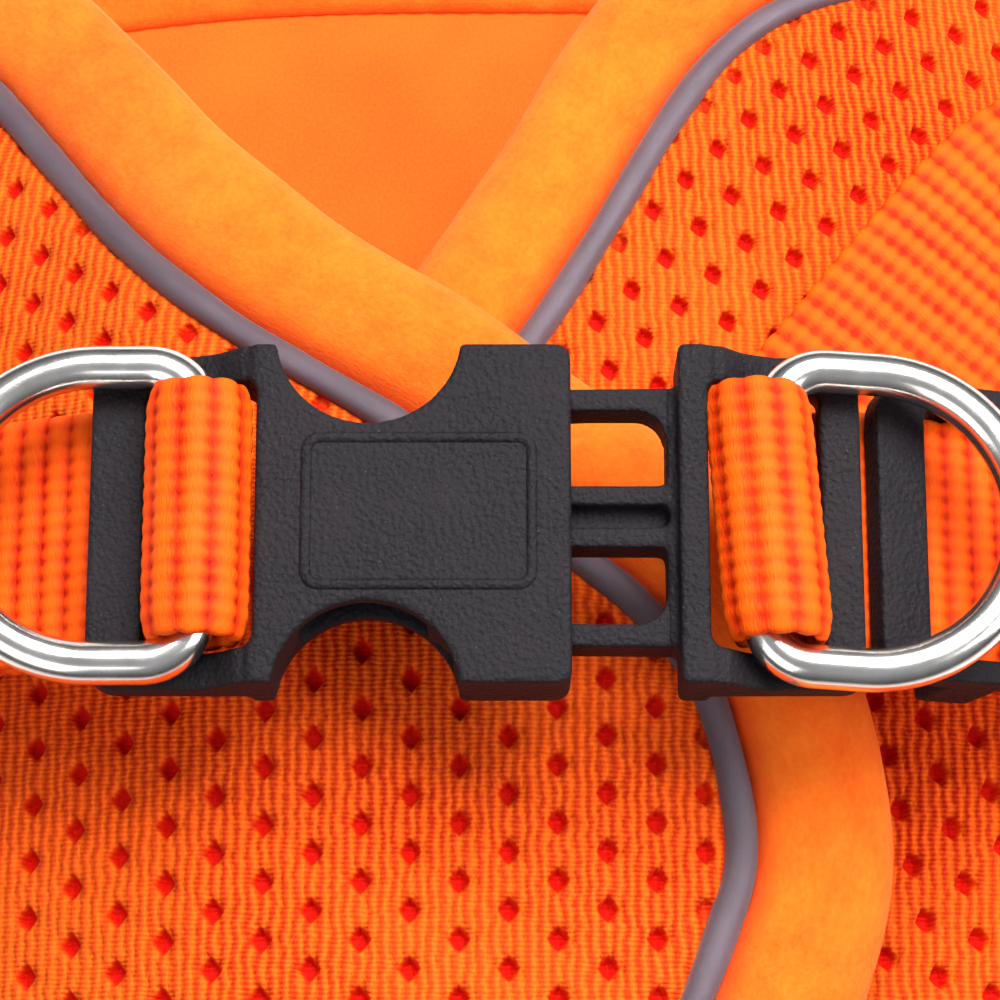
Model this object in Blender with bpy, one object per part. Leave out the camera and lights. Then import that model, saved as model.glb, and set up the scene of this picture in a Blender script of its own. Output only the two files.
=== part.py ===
"""Wrap-around vest harness for a small dog, closed on its back and lying on its belly.

Millimetres inside this file, metres in the scene. +Z is up, +Y points to the dog's head and +X to
its right side in this view. The origin is on the floor, under the middle of the buckle.

The vest is cut flat in (u, v): u runs round the girth from the belly's centre, positive towards +X,
and v runs along the dog. vest_point() bends the cut into the closed vest. The left wing has
negative u and laps over the right wing.
"""

import math

import bmesh
import bpy
from mathutils import Vector

MM = 0.001

# The closed vest's outline: a flat belly, a round side and a shallow arch on top.
BELLY_HALF = 52.0
SIDE_RADIUS = 28.0
TOP_RISE = 10.0
NECK_TAPER = 0.12
TAPER_START, TAPER_END = 0.0, 80.0

# Layers, as heights above the middle of the cloth.
MESH_TOP, MESH_BOTTOM = 1.6, -0.8
LINING_TOP, LINING_BOTTOM = -1.1, -2.1
LAP_START, LAP_RAMP, LAP_STEP = 140.0, 32.0, 3.4
PATCH_THICKNESS, PATCH_GAP = 1.0, 0.35
CLOTH_GAP = 0.4

# Edge trims.
PIPING_RADIUS = 1.4
BAND_PROFILE = [(1.8, -1.5), (4.0, -2.2), (10.2, -2.0), (12.3, 0.1), (10.2, 2.2), (4.0, 2.5), (1.8, 1.5)]
SEAM_U = 70.0
SEAM_REAR_V, SEAM_NECK_V = -54.3, 71.4
PATCH_X, PATCH_Y = (-14.5, 5.5), (-46.0, -21.0)
LEG_HOLE_V = 18.0
LEG_HOLE_HALF_U, LEG_HOLE_HALF_V = 26.0, 30.0
LEG_HOLE_ROUNDNESS = 1.4
LEG_BINDING_INSET, LEG_BINDING_RADIUS = 2.3, 1.65

# Webbing.
WEBBING_WIDTH, WEBBING_THICKNESS = 19.5, 1.8
WEBBING_GAP = 0.35

# Buckle. Its middle plane is flat, BUCKLE_Z above the floor.
BUCKLE_Z = 86.0
BUCKLE_HALF_WIDTH = 13.5
BODY_LOW, BODY_HIGH = 82.2, 89.8
TAIL_LOW, TAIL_HIGH = 83.5, 86.5
SOCKET_LOW, SOCKET_HIGH = 83.8, 88.2
TONGUE_LOW, TONGUE_HIGH = 84.1, 87.9
MOUTH_X, BODY_X, FEMALE_BAR_X, FEMALE_END_X = 5.5, -18.9, -27.7, -32.0
SOCKET_HALF_WIDTH, SOCKET_END_X = 11.3, -15.5
NOTCH_X, NOTCH_Y, NOTCH_RADIUS = -10.25, 15.25, 7.2
SLOT_HALF_WIDTH = 10.6
SHOULDER_X, MALE_SLOT_X, MALE_BAR_X, MALE_END_X = 13.8, 16.1, 25.0, 28.2
ARM_ROOT_X, ARM_TIP_X, ARM_OUTER_Y = 12.6, -5.7, 10.4
GUIDE_HALF_WIDTH, GUIDE_TIP_X = 2.45, -2.5

# D-rings.
RING_WIRE_RADIUS = 1.65
RING_HALF_WIDTH = 11.8
RING_CORNER = 2.7
RING_ARC_X = 8.0
RING_Z = 88.6
RING_FROM_BAR = 4.35
RING_TURN_X, RING_TURN_Z = 3.2, 3.0

# Strap adjuster. The adjustable strap runs down to the right at STRAP_SLOPE.
STRAP_SLOPE = math.radians(20)
STRAP_START = (31.0, 81.0)
GIRTH_STRAP_TOP = 58.0
SLIDER_DISTANCE = 6.4
SLIDER_HALF_LENGTH, SLIDER_HALF_WIDTH = 9.2, 12.1

COLOURS = {
    "mesh": ((1.0, 0.25, 0.02), 0.85, 0.0),
    "lining": ((0.95, 0.17, 0.01), 0.9, 0.0),
    "band": ((1.0, 0.33, 0.04), 0.95, 0.0),
    "webbing": ((1.0, 0.2, 0.005), 0.6, 0.0),
    "piping": ((0.24, 0.22, 0.25), 0.45, 0.0),
    "plastic": ((0.025, 0.023, 0.027), 0.55, 0.0),
    "steel": ((0.82, 0.79, 0.76), 0.15, 1.0),
}


# ---------------------------------------------------------------- shapes


def clear_scene():
    for old in list(bpy.data.objects):
        bpy.data.objects.remove(old)


def material(kind):
    """The Principled material of this kind, made once."""
    if kind in bpy.data.materials:
        return bpy.data.materials[kind]
    colour, roughness, metallic = COLOURS[kind]
    made = bpy.data.materials.new(kind)
    made.use_nodes = True
    shader = made.node_tree.nodes["Principled BSDF"]
    shader.inputs["Base Color"].default_value = (*colour, 1.0)
    shader.inputs["Roughness"].default_value = roughness
    shader.inputs["Metallic"].default_value = metallic
    return made


def new_object(name, points, faces, kind, origin=(0.0, 0.0, 0.0), tilt=0.0, smooth_degrees=40):
    """A closed mesh with its faces turned outwards. Points are relative to origin, and tilt turns it about +Y."""
    mesh = bpy.data.meshes.new(name)
    mesh.from_pydata([Vector(p) * MM for p in points], [], faces)
    work = bmesh.new()
    work.from_mesh(mesh)
    bmesh.ops.recalc_face_normals(work, faces=work.faces)
    work.to_mesh(mesh)
    work.free()
    mesh.shade_smooth()
    mesh.set_sharp_from_angle(angle=math.radians(smooth_degrees))
    mesh.materials.append(material(kind))
    made = bpy.data.objects.new(name, mesh)
    made.location = Vector(origin) * MM
    made.rotation_euler = (0.0, tilt, 0.0)
    bpy.context.scene.collection.objects.link(made)
    return made


def loft(name, sections, kind, closed=False, **placing):
    """A solid through rings of points. An open one gets end caps."""
    count, ring = len(sections), len(sections[0])
    points = [p for section in sections for p in section]
    faces = []
    for i in range(count if closed else count - 1):
        here, there = i * ring, (i + 1) % count * ring
        for k in range(ring):
            n = (k + 1) % ring
            faces.append((here + k, here + n, there + n, there + k))
    if not closed:
        faces.append(tuple(range(ring))[::-1])
        faces.append(tuple(range((count - 1) * ring, count * ring)))
    return new_object(name, points, faces, kind, **placing)


def sheet(name, top, bottom, kind):
    """A closed sheet between two grids of points, each a list of rows of the same length."""
    rows, columns = len(top), len(top[0])
    points = [p for row in top for p in row] + [p for row in bottom for p in row]
    under = rows * columns
    faces = []
    for i in range(rows - 1):
        for j in range(columns - 1):
            a, b = i * columns + j, (i + 1) * columns + j
            faces.append((a, a + 1, b + 1, b))
            faces.append((under + a, under + b, under + b + 1, under + a + 1))
    rim = [j for j in range(columns)]
    rim += [i * columns + columns - 1 for i in range(1, rows)]
    rim += [(rows - 1) * columns + j for j in range(columns - 2, -1, -1)]
    rim += [i * columns for i in range(rows - 2, 0, -1)]
    for a, b in zip(rim, rim[1:] + rim[:1]):
        faces.append((a, b, under + b, under + a))
    return new_object(name, points, faces, kind)


def prism(name, outline, low, high, kind="plastic", **placing):
    """An upright solid with this outline, a list of (x, y)."""
    sections = [[(x, y, z) for x, y in outline] for z in (low, high)]
    return loft(name, sections, kind, **placing)


def helper(made):
    """Marks an object as a cutter, or as a shape that a union takes in."""
    made.hide_render = True
    made.display_type = "WIRE"
    return made


def combine(target, operation, other):
    modifier = target.modifiers.new(other.name, "BOOLEAN")
    modifier.operation = operation
    modifier.solver = "EXACT"
    modifier.object = helper(other)


def bevel(target, width, segments=2, degrees=50):
    modifier = target.modifiers.new("edges", "BEVEL")
    modifier.width = width * MM
    modifier.segments = segments
    modifier.limit_method = "ANGLE"
    modifier.angle_limit = math.radians(degrees)


# ---------------------------------------------------------------- curves


def arc(cx, cy, radius, start, end, steps):
    """Points on an arc, angles in degrees."""
    angles = [math.radians(start + (end - start) * i / steps) for i in range(steps + 1)]
    return [(cx + radius * math.cos(a), cy + radius * math.sin(a)) for a in angles]


def rounded_box(x0, x1, y0, y1, radius, steps=4):
    """A box's outline with round corners, anticlockwise."""
    return (
        arc(x1 - radius, y0 + radius, radius, -90, 0, steps)
        + arc(x1 - radius, y1 - radius, radius, 0, 90, steps)
        + arc(x0 + radius, y1 - radius, radius, 90, 180, steps)
        + arc(x0 + radius, y0 + radius, radius, 180, 270, steps)
    )


def spline(points, spacing, closed=False):
    """Points about this far apart on a smooth curve through the given ones (Catmull-Rom)."""
    points = [Vector(p) for p in points]
    count = len(points)
    spans = count if closed else count - 1
    made = []
    for i in range(spans):
        if closed:
            p0, p1, p2, p3 = (points[(i + k) % count] for k in (-1, 0, 1, 2))
        else:
            p1, p2 = points[i], points[i + 1]
            p0 = points[i - 1] if i else 2 * p1 - p2
            p3 = points[i + 2] if i + 2 < count else 2 * p2 - p1
        steps = max(1, round((p2 - p1).length / spacing))
        for k in range(steps):
            t = k / steps
            made.append(
                0.5
                * (
                    2 * p1
                    + (p2 - p0) * t
                    + (2 * p0 - 5 * p1 + 4 * p2 - p3) * t * t
                    + (3 * p1 - p0 - 3 * p2 + p3) * t**3
                )
            )
    return made if closed else made + [points[-1]]


def tangents(points, closed=False):
    count = len(points)
    made = []
    for i in range(count):
        before = points[i - 1] if closed or i else points[i]
        after = points[(i + 1) % count] if closed or i + 1 < count else points[i]
        made.append((after - before).normalized())
    return made


def at_share(curve, share):
    """The point this share of the way along a polyline."""
    lengths = [(b - a).length for a, b in zip(curve, curve[1:])]
    left = share * sum(lengths)
    for a, b, length in zip(curve, curve[1:], lengths):
        if left <= length:
            return a.lerp(b, left / length)
        left -= length
    return curve[-1]


def smooth_step(t):
    t = min(1.0, max(0.0, t))
    return t * t * (3 - 2 * t)


# ---------------------------------------------------------------- the vest's surface


def arch():
    """The top arch's radius, its half angle and the height of its centre."""
    half_angle = 2 * math.atan(TOP_RISE / BELLY_HALF)
    radius = SIDE_RADIUS + BELLY_HALF / math.sin(half_angle)
    centre = SIDE_RADIUS - (radius - SIDE_RADIUS) * math.cos(half_angle)
    return radius, half_angle, centre


TOP_RADIUS, TOP_HALF_ANGLE, TOP_CENTRE_Z = arch()
SIDE_LENGTH = SIDE_RADIUS * (math.pi - TOP_HALF_ANGLE)
HALF_GIRTH = BELLY_HALF + SIDE_LENGTH + TOP_RADIUS * TOP_HALF_ANGLE


def outline_at(u):
    """x, z and the outward normal's x and z on the closed outline, u round it from the belly's centre."""
    u = (u + HALF_GIRTH) % (2 * HALF_GIRTH) - HALF_GIRTH
    side, along = math.copysign(1.0, u), abs(u)
    if along <= BELLY_HALF:
        return u, 0.0, 0.0, -1.0
    if along <= BELLY_HALF + SIDE_LENGTH:
        angle = (along - BELLY_HALF) / SIDE_RADIUS
        x = BELLY_HALF + SIDE_RADIUS * math.sin(angle)
        return side * x, SIDE_RADIUS * (1 - math.cos(angle)), side * math.sin(angle), -math.cos(angle)
    angle = (HALF_GIRTH - along) / TOP_RADIUS
    z = TOP_CENTRE_Z + TOP_RADIUS * math.cos(angle)
    return side * TOP_RADIUS * math.sin(angle), z, side * math.sin(angle), math.cos(angle)


def vest_point(u, v, height):
    """The place of a point of the flat cut, height above the middle of the cloth, in the closed vest."""
    x, z, normal_x, normal_z = outline_at(u)
    taper = 1 - NECK_TAPER * smooth_step((v - TAPER_START) / (TAPER_END - TAPER_START))
    lap = math.copysign(LAP_STEP, -u) * smooth_step((abs(u) - LAP_START) / LAP_RAMP)
    out = height + lap
    return Vector((taper * x + normal_x * out, v, MESH_TOP + taper * z + normal_z * out))


def off_the_floor(u):
    """0 on the flat belly and 1 up the sides: how far a trim may stand out past the cloth."""
    return smooth_step((abs(u) - BELLY_HALF) / 20.0)


def on_top(x, y, side):
    """The flat-cut point of the left (-1) or right (+1) wing that lies at x, y on top of the vest."""
    along = HALF_GIRTH - side * TOP_RADIUS * math.asin(x / TOP_RADIUS)
    return (side * along, y)


# ---------------------------------------------------------------- the flat cut

# The line of the piping, from the left wing's lower corner up its free edge, round the neck and down
# the right wing's free edge. Wing points are x, y places on top of the closed vest.
LEFT_EDGE = [(6.0, -52.5), (12.6, -41.0), (17.0, -30.5), (18.9, -22.5), (16.4, -10.6), (11.5, -3.6), (6.0, 1.2)]
LEFT_EDGE += [(-7.0, 11.4), (-16.5, 17.6), (-24.8, 23.4), (-33.2, 30.8), (-41.4, 39.6), (-49.6, 48.2), (-58.0, 55.4)]
NECK = [(-120.0, 62.0), (-106.0, 64.5), (-90.0, 68.0), (-70.0, 73.5), (-35.0, 78.5), (0.0, 79.5)]
RIGHT_EDGE = [(60.0, 61.5), (44.0, 60.0), (31.0, 57.0), (23.0, 52.0), (16.8, 44.5), (10.4, 34.3), (5.2, 26.0)]
RIGHT_EDGE += [(1.4, 20.0), (-9.0, 1.0), (-18.0, -16.0), (-22.0, -34.0), (-21.0, -52.0)]
# The rear edge, from the right wing's lower corner to the left wing's.
REAR_RIGHT = [(-14.0, -58.5), (20.0, -60.0), (55.0, -60.0)]
REAR = [(100.0, -58.0), (70.0, -56.0), (0.0, -55.0), (-70.0, -56.0), (-100.0, -58.0)]
REAR_LEFT = [(-55.0, -60.0), (-24.0, -60.0), (-4.0, -58.6)]


def edge_loop(spacing):
    """The closed line of the piping and the index of the first point of its rear part."""
    neck = [on_top(x, y, -1) for x, y in LEFT_EDGE] + NECK
    neck += [(-u, v) for u, v in NECK[-2::-1]] + [on_top(x, y, 1) for x, y in RIGHT_EDGE]
    rear = [on_top(x, y, 1) for x, y in REAR_RIGHT] + REAR + [on_top(x, y, -1) for x, y in REAR_LEFT]
    loop = spline(neck + rear, spacing, closed=True)
    corner = Vector(neck[-1])
    split = min(range(len(loop)), key=lambda i: (loop[i] - corner).length)
    return loop, split


def moved_out(loop, distance):
    """The closed line moved away from the vest's inside by a distance."""
    return [p + Vector((-t.y, t.x)) * distance for p, t in zip(loop, tangents(loop, closed=True))]


def between(loop, start, end):
    """The part of a closed line from the point nearest start to the one nearest end, going on along it."""
    first = min(range(len(loop)), key=lambda i: (loop[i] - Vector(start)).length)
    last = min(range(len(loop)), key=lambda i: (loop[i] - Vector(end)).length)
    if last < first:
        last += len(loop)
    return [loop[i % len(loop)] for i in range(first, last + 1)]


def leg_hole_edge(share):
    """How far the leg hole reaches from the seam line at a share from -1 to 1 of its half length."""
    return LEG_HOLE_HALF_U * max(0.0, 1 - share * share) ** (LEG_HOLE_ROUNDNESS / 2)


def seam_side(side, towards_wing, steps):
    """The edge beside the leg hole of a wing (towards_wing 1) or of the chest panel (-1), from rear to neck."""
    made = []
    for i in range(steps + 1):
        v = SEAM_REAR_V + (SEAM_NECK_V - SEAM_REAR_V) * i / steps
        reach = leg_hole_edge((v - LEG_HOLE_V) / LEG_HOLE_HALF_V)
        made.append(Vector((side * (SEAM_U + towards_wing * (reach + CLOTH_GAP / 2)), v)))
    return made


def coons_grid(rear, neck, first, last, rows, columns):
    """A grid of flat-cut points inside four edges. rear and neck run from first to last."""
    corner = (rear[0], rear[-1], neck[0], neck[-1])
    grid = []
    for i in range(rows + 1):
        t = i / rows
        a, b = at_share(first, t), at_share(last, t)
        row = []
        for j in range(columns + 1):
            s = j / columns
            c, d = at_share(rear, s), at_share(neck, s)
            flat = (1 - t) * ((1 - s) * corner[0] + s * corner[1]) + t * ((1 - s) * corner[2] + s * corner[3])
            row.append((1 - s) * a + s * b + (1 - t) * c + t * d - flat)
        grid.append(row)
    return grid


def panel_grids():
    """The flat-cut grids of the chest panel and the two wings."""
    loop, _ = edge_loop(2.0)
    inside = moved_out(loop, -(PIPING_RADIUS + 0.8))
    grids = {}
    for name, side, tip, corner in (
        ("left_wing", -1, (18.9, -22.5), (1.5, -56.5)),
        ("right_wing", 1, (-19.0, -22.0), (-18.0, -55.0)),
    ):
        seam_neck, seam_rear = (side * SEAM_U, SEAM_NECK_V), (side * SEAM_U, SEAM_REAR_V)
        top, low = on_top(*tip, side), on_top(*corner, side)
        first = seam_side(side, 1, 60)
        if side < 0:
            neck = between(inside, top, seam_neck)[::-1]
            last = between(inside, low, top)
            rear = between(inside, seam_rear, low)
        else:
            neck = between(inside, seam_neck, top)
            last = between(inside, top, low)[::-1]
            rear = between(inside, low, seam_rear)[::-1]
        neck[0], rear[0] = first[-1], first[0]
        rear[-1], last[-1] = last[0], neck[-1]
        grids[name] = coons_grid(rear, neck, first, last, 17, 13)
    first, last = seam_side(-1, -1, 60), seam_side(1, -1, 60)
    neck = between(inside, (-SEAM_U, SEAM_NECK_V), (SEAM_U, SEAM_NECK_V))
    rear = between(inside, (SEAM_U, SEAM_REAR_V), (-SEAM_U, SEAM_REAR_V))[::-1]
    neck[0], neck[-1], rear[0], rear[-1] = first[-1], last[-1], first[0], last[0]
    grids["chest"] = coons_grid(rear, neck, first, last, 17, 10)
    return grids


# ---------------------------------------------------------------- soft parts


def make_panels():
    for name, grid in panel_grids().items():
        for part, kind, top, bottom in (
            ("mesh_panel", "mesh", MESH_TOP, MESH_BOTTOM),
            ("lining", "lining", LINING_TOP, LINING_BOTTOM),
        ):
            layers = [[[vest_point(p.x, p.y, h) for p in row] for row in grid] for h in (top, bottom)]
            sheet(f"{name}_{part}", *layers, kind)


def edge_sections(line, directions, profile):
    """Rings of a profile of (distance out, height) carried along a flat-cut line."""
    rings = []
    for p, t in zip(line, directions):
        out = Vector((-t.y, t.x))
        ring = []
        for distance, height in profile:
            q = p + out * distance
            if height > MESH_TOP:
                height = MESH_TOP + (height - MESH_TOP) * off_the_floor(q.x)
            ring.append(vest_point(q.x, q.y, height))
        rings.append(ring)
    return rings


def thinned(line, directions, longest=7.0, sharpest=14.0):
    """The points of a line that it needs, with their directions: none too far apart or round too sharp a turn."""
    kept = [0]
    for i in range(1, len(line) - 1):
        turn = math.degrees(directions[i + 1].angle(directions[kept[-1]]))
        if (line[i + 1] - line[kept[-1]]).length > longest or turn > sharpest:
            kept.append(i)
    kept.append(len(line) - 1)
    return [line[i] for i in kept], [directions[i] for i in kept]


def make_edges():
    """The brushed band round the whole vest, with the reflective piping between it and the mesh."""
    loop, split = edge_loop(2.0)
    directions = tangents(loop, closed=True)
    sides = 6
    piping = []
    for k in range(sides):
        angle = 2 * math.pi * k / sides
        piping.append((PIPING_RADIUS * math.cos(angle), 0.2 + PIPING_RADIUS * math.sin(angle)))
    lifted = [(d, h + (0.9 if h > 0 else 0.4)) for d, h in piping]
    for name, first, last in (("neck", 0, split), ("rear", split, len(loop))):
        line = [loop[i % len(loop)] for i in range(first, last + 1)]
        course = [directions[i % len(loop)] for i in range(first, last + 1)]
        line, course = thinned(line, course)
        line[0] = line[0] + course[0] * CLOTH_GAP
        loft(f"{name}_edge_band", edge_sections(line, course, BAND_PROFILE), "band")
        loft(f"{name}_edge_piping", edge_sections(line, course, lifted), "piping")


def make_leg_bindings():
    steps, sides = 30, 6
    for name, side in (("left", -1), ("right", 1)):
        rings = []
        for i in range(steps):
            angle = 2 * math.pi * i / steps
            ring = []
            for k in range(sides):
                turn = 2 * math.pi * k / sides
                inset = LEG_BINDING_INSET - LEG_BINDING_RADIUS * math.cos(turn)
                height = -0.1 + LEG_BINDING_RADIUS * math.sin(turn)
                reach = math.copysign(abs(math.cos(angle)) ** LEG_HOLE_ROUNDNESS, math.cos(angle))
                u = SEAM_U + (LEG_HOLE_HALF_U - inset) * reach
                v = LEG_HOLE_V + (LEG_HOLE_HALF_V - inset) * math.sin(angle)
                ring.append(vest_point(side * u, v, height))
            rings.append(ring)
        loft(f"{name}_leg_binding", rings, "band", closed=True)


def make_closure_patches():
    """Hook tape under the left wing and loop tape on the right wing, face to face in the lap."""
    rows, columns = 8, 6
    for name, side, bottom in (
        ("hook_patch", -1, LINING_BOTTOM - PATCH_GAP - PATCH_THICKNESS),
        ("loop_patch", 1, MESH_TOP + PATCH_GAP),
    ):
        layers = []
        for height in (bottom + PATCH_THICKNESS, bottom):
            grid = []
            for i in range(rows + 1):
                y = PATCH_Y[0] + (PATCH_Y[1] - PATCH_Y[0]) * i / rows
                xs = [PATCH_X[0] + (PATCH_X[1] - PATCH_X[0]) * j / columns for j in range(columns + 1)]
                points = [on_top(x, y, side) for x in xs]
                grid.append([vest_point(u, v, height) for u, v in points])
            layers.append(grid)
        sheet(name, *layers, "lining")


# ---------------------------------------------------------------- webbing


# Places round the webbing's section, as shares of its half width and half thickness.
WEBBING_SECTION = [(-1, -1), (-0.5, -1), (0, -1), (0.5, -1), (1, -1), (1, 1), (0.5, 1), (0, 1), (-0.5, 1), (-1, 1)]


def free_webbing(path):
    """Sections of webbing along a path in space. Its width lies as near to +Y as the path allows."""
    rings = []
    for p, t in zip(path, tangents(path)):
        across = (Vector((0, 1, 0)) - t * t.y).normalized()
        width, thickness = across * WEBBING_WIDTH / 2, t.cross(across) * WEBBING_THICKNESS / 2
        rings.append([p + width * a + thickness * b for a, b in WEBBING_SECTION])
    return rings


def sewn_webbing(points, spacing=5.0):
    """Sections of webbing that lies on the vest along flat-cut points."""
    line = spline(points, spacing)
    side = -math.copysign(1.0, line[0].x)
    middle = MESH_TOP + WEBBING_GAP + WEBBING_THICKNESS / 2
    rings = []
    for p, t in zip(line, tangents(line)):
        across = Vector((-t.y, t.x)) * math.copysign(WEBBING_WIDTH / 2, t.x)
        ring = []
        for a, b in WEBBING_SECTION:
            q = p + across * a
            ring.append(vest_point(q.x, q.y, middle + side * b * WEBBING_THICKNESS / 2))
        rings.append(ring)
    return rings


def flat_path(points):
    return [Vector((x, 0.0, z)) for x, z in points]


def layers_below_bar():
    """Heights of the middles of the two webbing layers that pass under a buckle's bar."""
    upper = TAIL_LOW - WEBBING_GAP - WEBBING_THICKNESS / 2
    return upper, upper - WEBBING_THICKNESS - WEBBING_GAP


def ring_loop(bar_x, side):
    """The webbing's way from the lower layer under the bar, up the slot, round the ring's straight wire and
    back to the upper layer. side is -1 where the bar is left of its slot, and 1 where it is right of it."""
    upper, lower = layers_below_bar()
    near = WEBBING_GAP + WEBBING_THICKNESS / 2
    far = near + WEBBING_THICKNESS + WEBBING_GAP
    up = [(-1.5, lower), (0.4, lower), (far - 1.4, lower + 0.5), (far - 0.2, lower + 1.9), (far + 0.1, TAIL_LOW + 0.8)]
    circle = [
        (RING_FROM_BAR + RING_TURN_X * math.cos(math.radians(a)), RING_Z + RING_TURN_Z * math.sin(math.radians(a)))
        for a in (-35, 0, 36, 72, 108, 144, 180)
    ]
    down = [(near + 0.1, TAIL_HIGH - 1.2), (near + 0.08, TAIL_LOW + 0.2), (0.85 * near, TAIL_LOW - 0.8 * near), (0.1, upper)]
    down += [(-1.8, upper)]
    return [(bar_x - side * q, z) for q, z in up + circle + down]


def make_left_strap():
    """Sewn to the left wing, up to the socket half's bar, round the left ring and back under the bar."""
    upper, lower = layers_below_bar()
    sewn = sewn_webbing([(-76.0, -26.0), (-92.0, -20.0), (-106.0, -11.0), (-118.0, -4.5), (-128.0, -1.0)])
    free = flat_path([(-56.0, 65.0), (-49.0, 70.6), (-41.0, 75.8), (-35.0, 78.6), (-31.0, lower - 0.15)])
    back = flat_path([(-31.5, upper - 0.15), (-35.6, upper - 1.6), (-41.4, 78.0), (-46.0, 75.4)])
    path = free + flat_path(ring_loop(FEMALE_BAR_X, -1)) + back
    loft("left_strap", sewn + free_webbing(spline(path, 2.6)), "webbing")


def strap_line(distance, below=0.0):
    """A point of the adjustable strap's straight run, below its middle by an amount."""
    x = STRAP_START[0] + distance * math.cos(STRAP_SLOPE) - below * math.sin(STRAP_SLOPE)
    z = STRAP_START[1] - distance * math.sin(STRAP_SLOPE) - below * math.cos(STRAP_SLOPE)
    return Vector((x, 0.0, z))


def make_right_straps():
    """The girth strap sewn to the right wing, and the adjustable strap from its free end to the plug half, round
    the right ring and back to the slider."""
    upper, _ = layers_below_bar()
    layer = WEBBING_THICKNESS + WEBBING_GAP
    back = [strap_line(0.6, layer), strap_line(0.0, layer), strap_line(-2.2, layer - 0.15)]
    run = flat_path([(MALE_BAR_X + 3.4, upper - 0.1)]) + [strap_line(d) for d in (1.0, 8.0, 17.0, 26.0, 33.0)]
    down = [Vector((68.3, -0.1, 64.3)), Vector((72.9, -1.2, 57.2)), Vector((77.9, -4.9, 48.4))]
    path = spline(back + flat_path(ring_loop(MALE_BAR_X, 1)) + run + down, 2.6)
    split = next(i for i, p in enumerate(path) if p.x > 50.0 and p.z < GIRTH_STRAP_TOP)
    loft("adjuster_strap", free_webbing(path)[:split], "webbing")
    free = free_webbing(path[::-1])[: len(path) - split + 1]
    free[-1] = [b.lerp(a, WEBBING_GAP / 2.0) for a, b in zip(free[-2], free[-1])]
    sewn = sewn_webbing([(76.0, -26.0), (92.0, -20.0), (105.0, -10.0)])
    loft("right_girth_strap", sewn + free, "webbing")


def make_shoulder_straps():
    """Webbing sewn flat across each wing, towards the shoulder."""
    right = [on_top(x, y, 1) for x, y in ((22.0, 5.3), (29.9, 14.2), (49.7, 36.0))] + [(128.0, 42.0), (113.0, 44.5)]
    left = [on_top(x, y, -1) for x, y in ((-53.0, 16.0), (-59.5, 25.0))] + [(-121.0, 34.0), (-108.0, 42.0)]
    for name, points in (("right_shoulder_strap", right), ("left_shoulder_strap", left)):
        loft(name, sewn_webbing(points), "webbing")


# ---------------------------------------------------------------- hardware


def female_outline():
    """The socket half's body seen from above, with a finger notch in each side."""
    half_chord = math.sqrt(NOTCH_RADIUS**2 - (NOTCH_Y - BUCKLE_HALF_WIDTH) ** 2)
    sweep = math.degrees(math.acos(half_chord / NOTCH_RADIUS))
    front = arc(MOUTH_X - 1.2, BUCKLE_HALF_WIDTH - 1.2, 1.2, 0, 90, 3)
    notch = arc(NOTCH_X, NOTCH_Y, NOTCH_RADIUS, -sweep, -180 + sweep, 12)
    upper = front + notch + [(BODY_X - 0.3, BUCKLE_HALF_WIDTH)]
    return upper + [(x, -y) for x, y in reversed(upper)]


def rim(name, outer, inner, low, high):
    """A flat frame between two outlines that have the same number of points."""
    sections = []
    for (x0, y0), (x1, y1) in zip(outer, inner):
        sections.append([(x0, y0, low), (x0, y0, high), (x1, y1, high), (x1, y1, low)])
    return loft(name, sections, "plastic", closed=True)


def ramp(name, x_high, x_low, y0, y1):
    """A wedge that takes a side rail from a body's top down to the bar's level."""
    side = [(x_high, TAIL_LOW + 0.8), (x_low, TAIL_LOW + 0.8), (x_low, TAIL_HIGH - 0.2), (x_high, BODY_HIGH - 1.0)]
    return loft(name, [[(x, y, z) for x, z in side] for y in (y0, y1)], "plastic")


def side_ramps(target, name, x_high, x_low):
    for label, sign in (("upper", 1), ("lower", -1)):
        inner, outer = sign * (SLOT_HALF_WIDTH - 0.4), sign * (BUCKLE_HALF_WIDTH - 0.3)
        combine(target, "UNION", ramp(f"{name}_{label}_ramp", x_high, x_low, min(inner, outer), max(inner, outer)))


def make_female():
    """The socket half: a hollow body with a mouth, two finger notches and a bar for the strap."""
    body = prism("buckle_female", female_outline(), BODY_LOW, BODY_HIGH)
    bevel(body, 0.9)
    tail_outline = rounded_box(FEMALE_END_X, BODY_X + 2.0, -BUCKLE_HALF_WIDTH + 0.1, BUCKLE_HALF_WIDTH - 0.1, 2.4)
    tail = prism("female_tail", tail_outline, TAIL_LOW, TAIL_HIGH)
    bevel(tail, 0.5)
    combine(body, "UNION", tail)
    side_ramps(body, "female", BODY_X + 1.0, BODY_X - 2.6)
    panel_x = NOTCH_X + 4.0
    outer = rounded_box(panel_x - 9.0, panel_x + 9.0, -6.1, 6.1, 1.3, 3)
    inner = rounded_box(panel_x - 8.3, panel_x + 8.3, -5.4, 5.4, 0.8, 3)
    combine(body, "UNION", rim("panel_ridge", outer, inner, BODY_HIGH - 0.4, BODY_HIGH + 0.25))
    slot = rounded_box(FEMALE_BAR_X, BODY_X, -SLOT_HALF_WIDTH, SLOT_HALF_WIDTH, 1.0, 3)
    combine(body, "DIFFERENCE", prism("female_slot", slot, BODY_LOW - 2.0, BODY_HIGH + 2.0))
    socket = rounded_box(SOCKET_END_X, MOUTH_X + 2.0, -SOCKET_HALF_WIDTH, SOCKET_HALF_WIDTH, 0.6, 2)
    combine(body, "DIFFERENCE", prism("female_socket", socket, SOCKET_LOW, SOCKET_HIGH))
    return body


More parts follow.
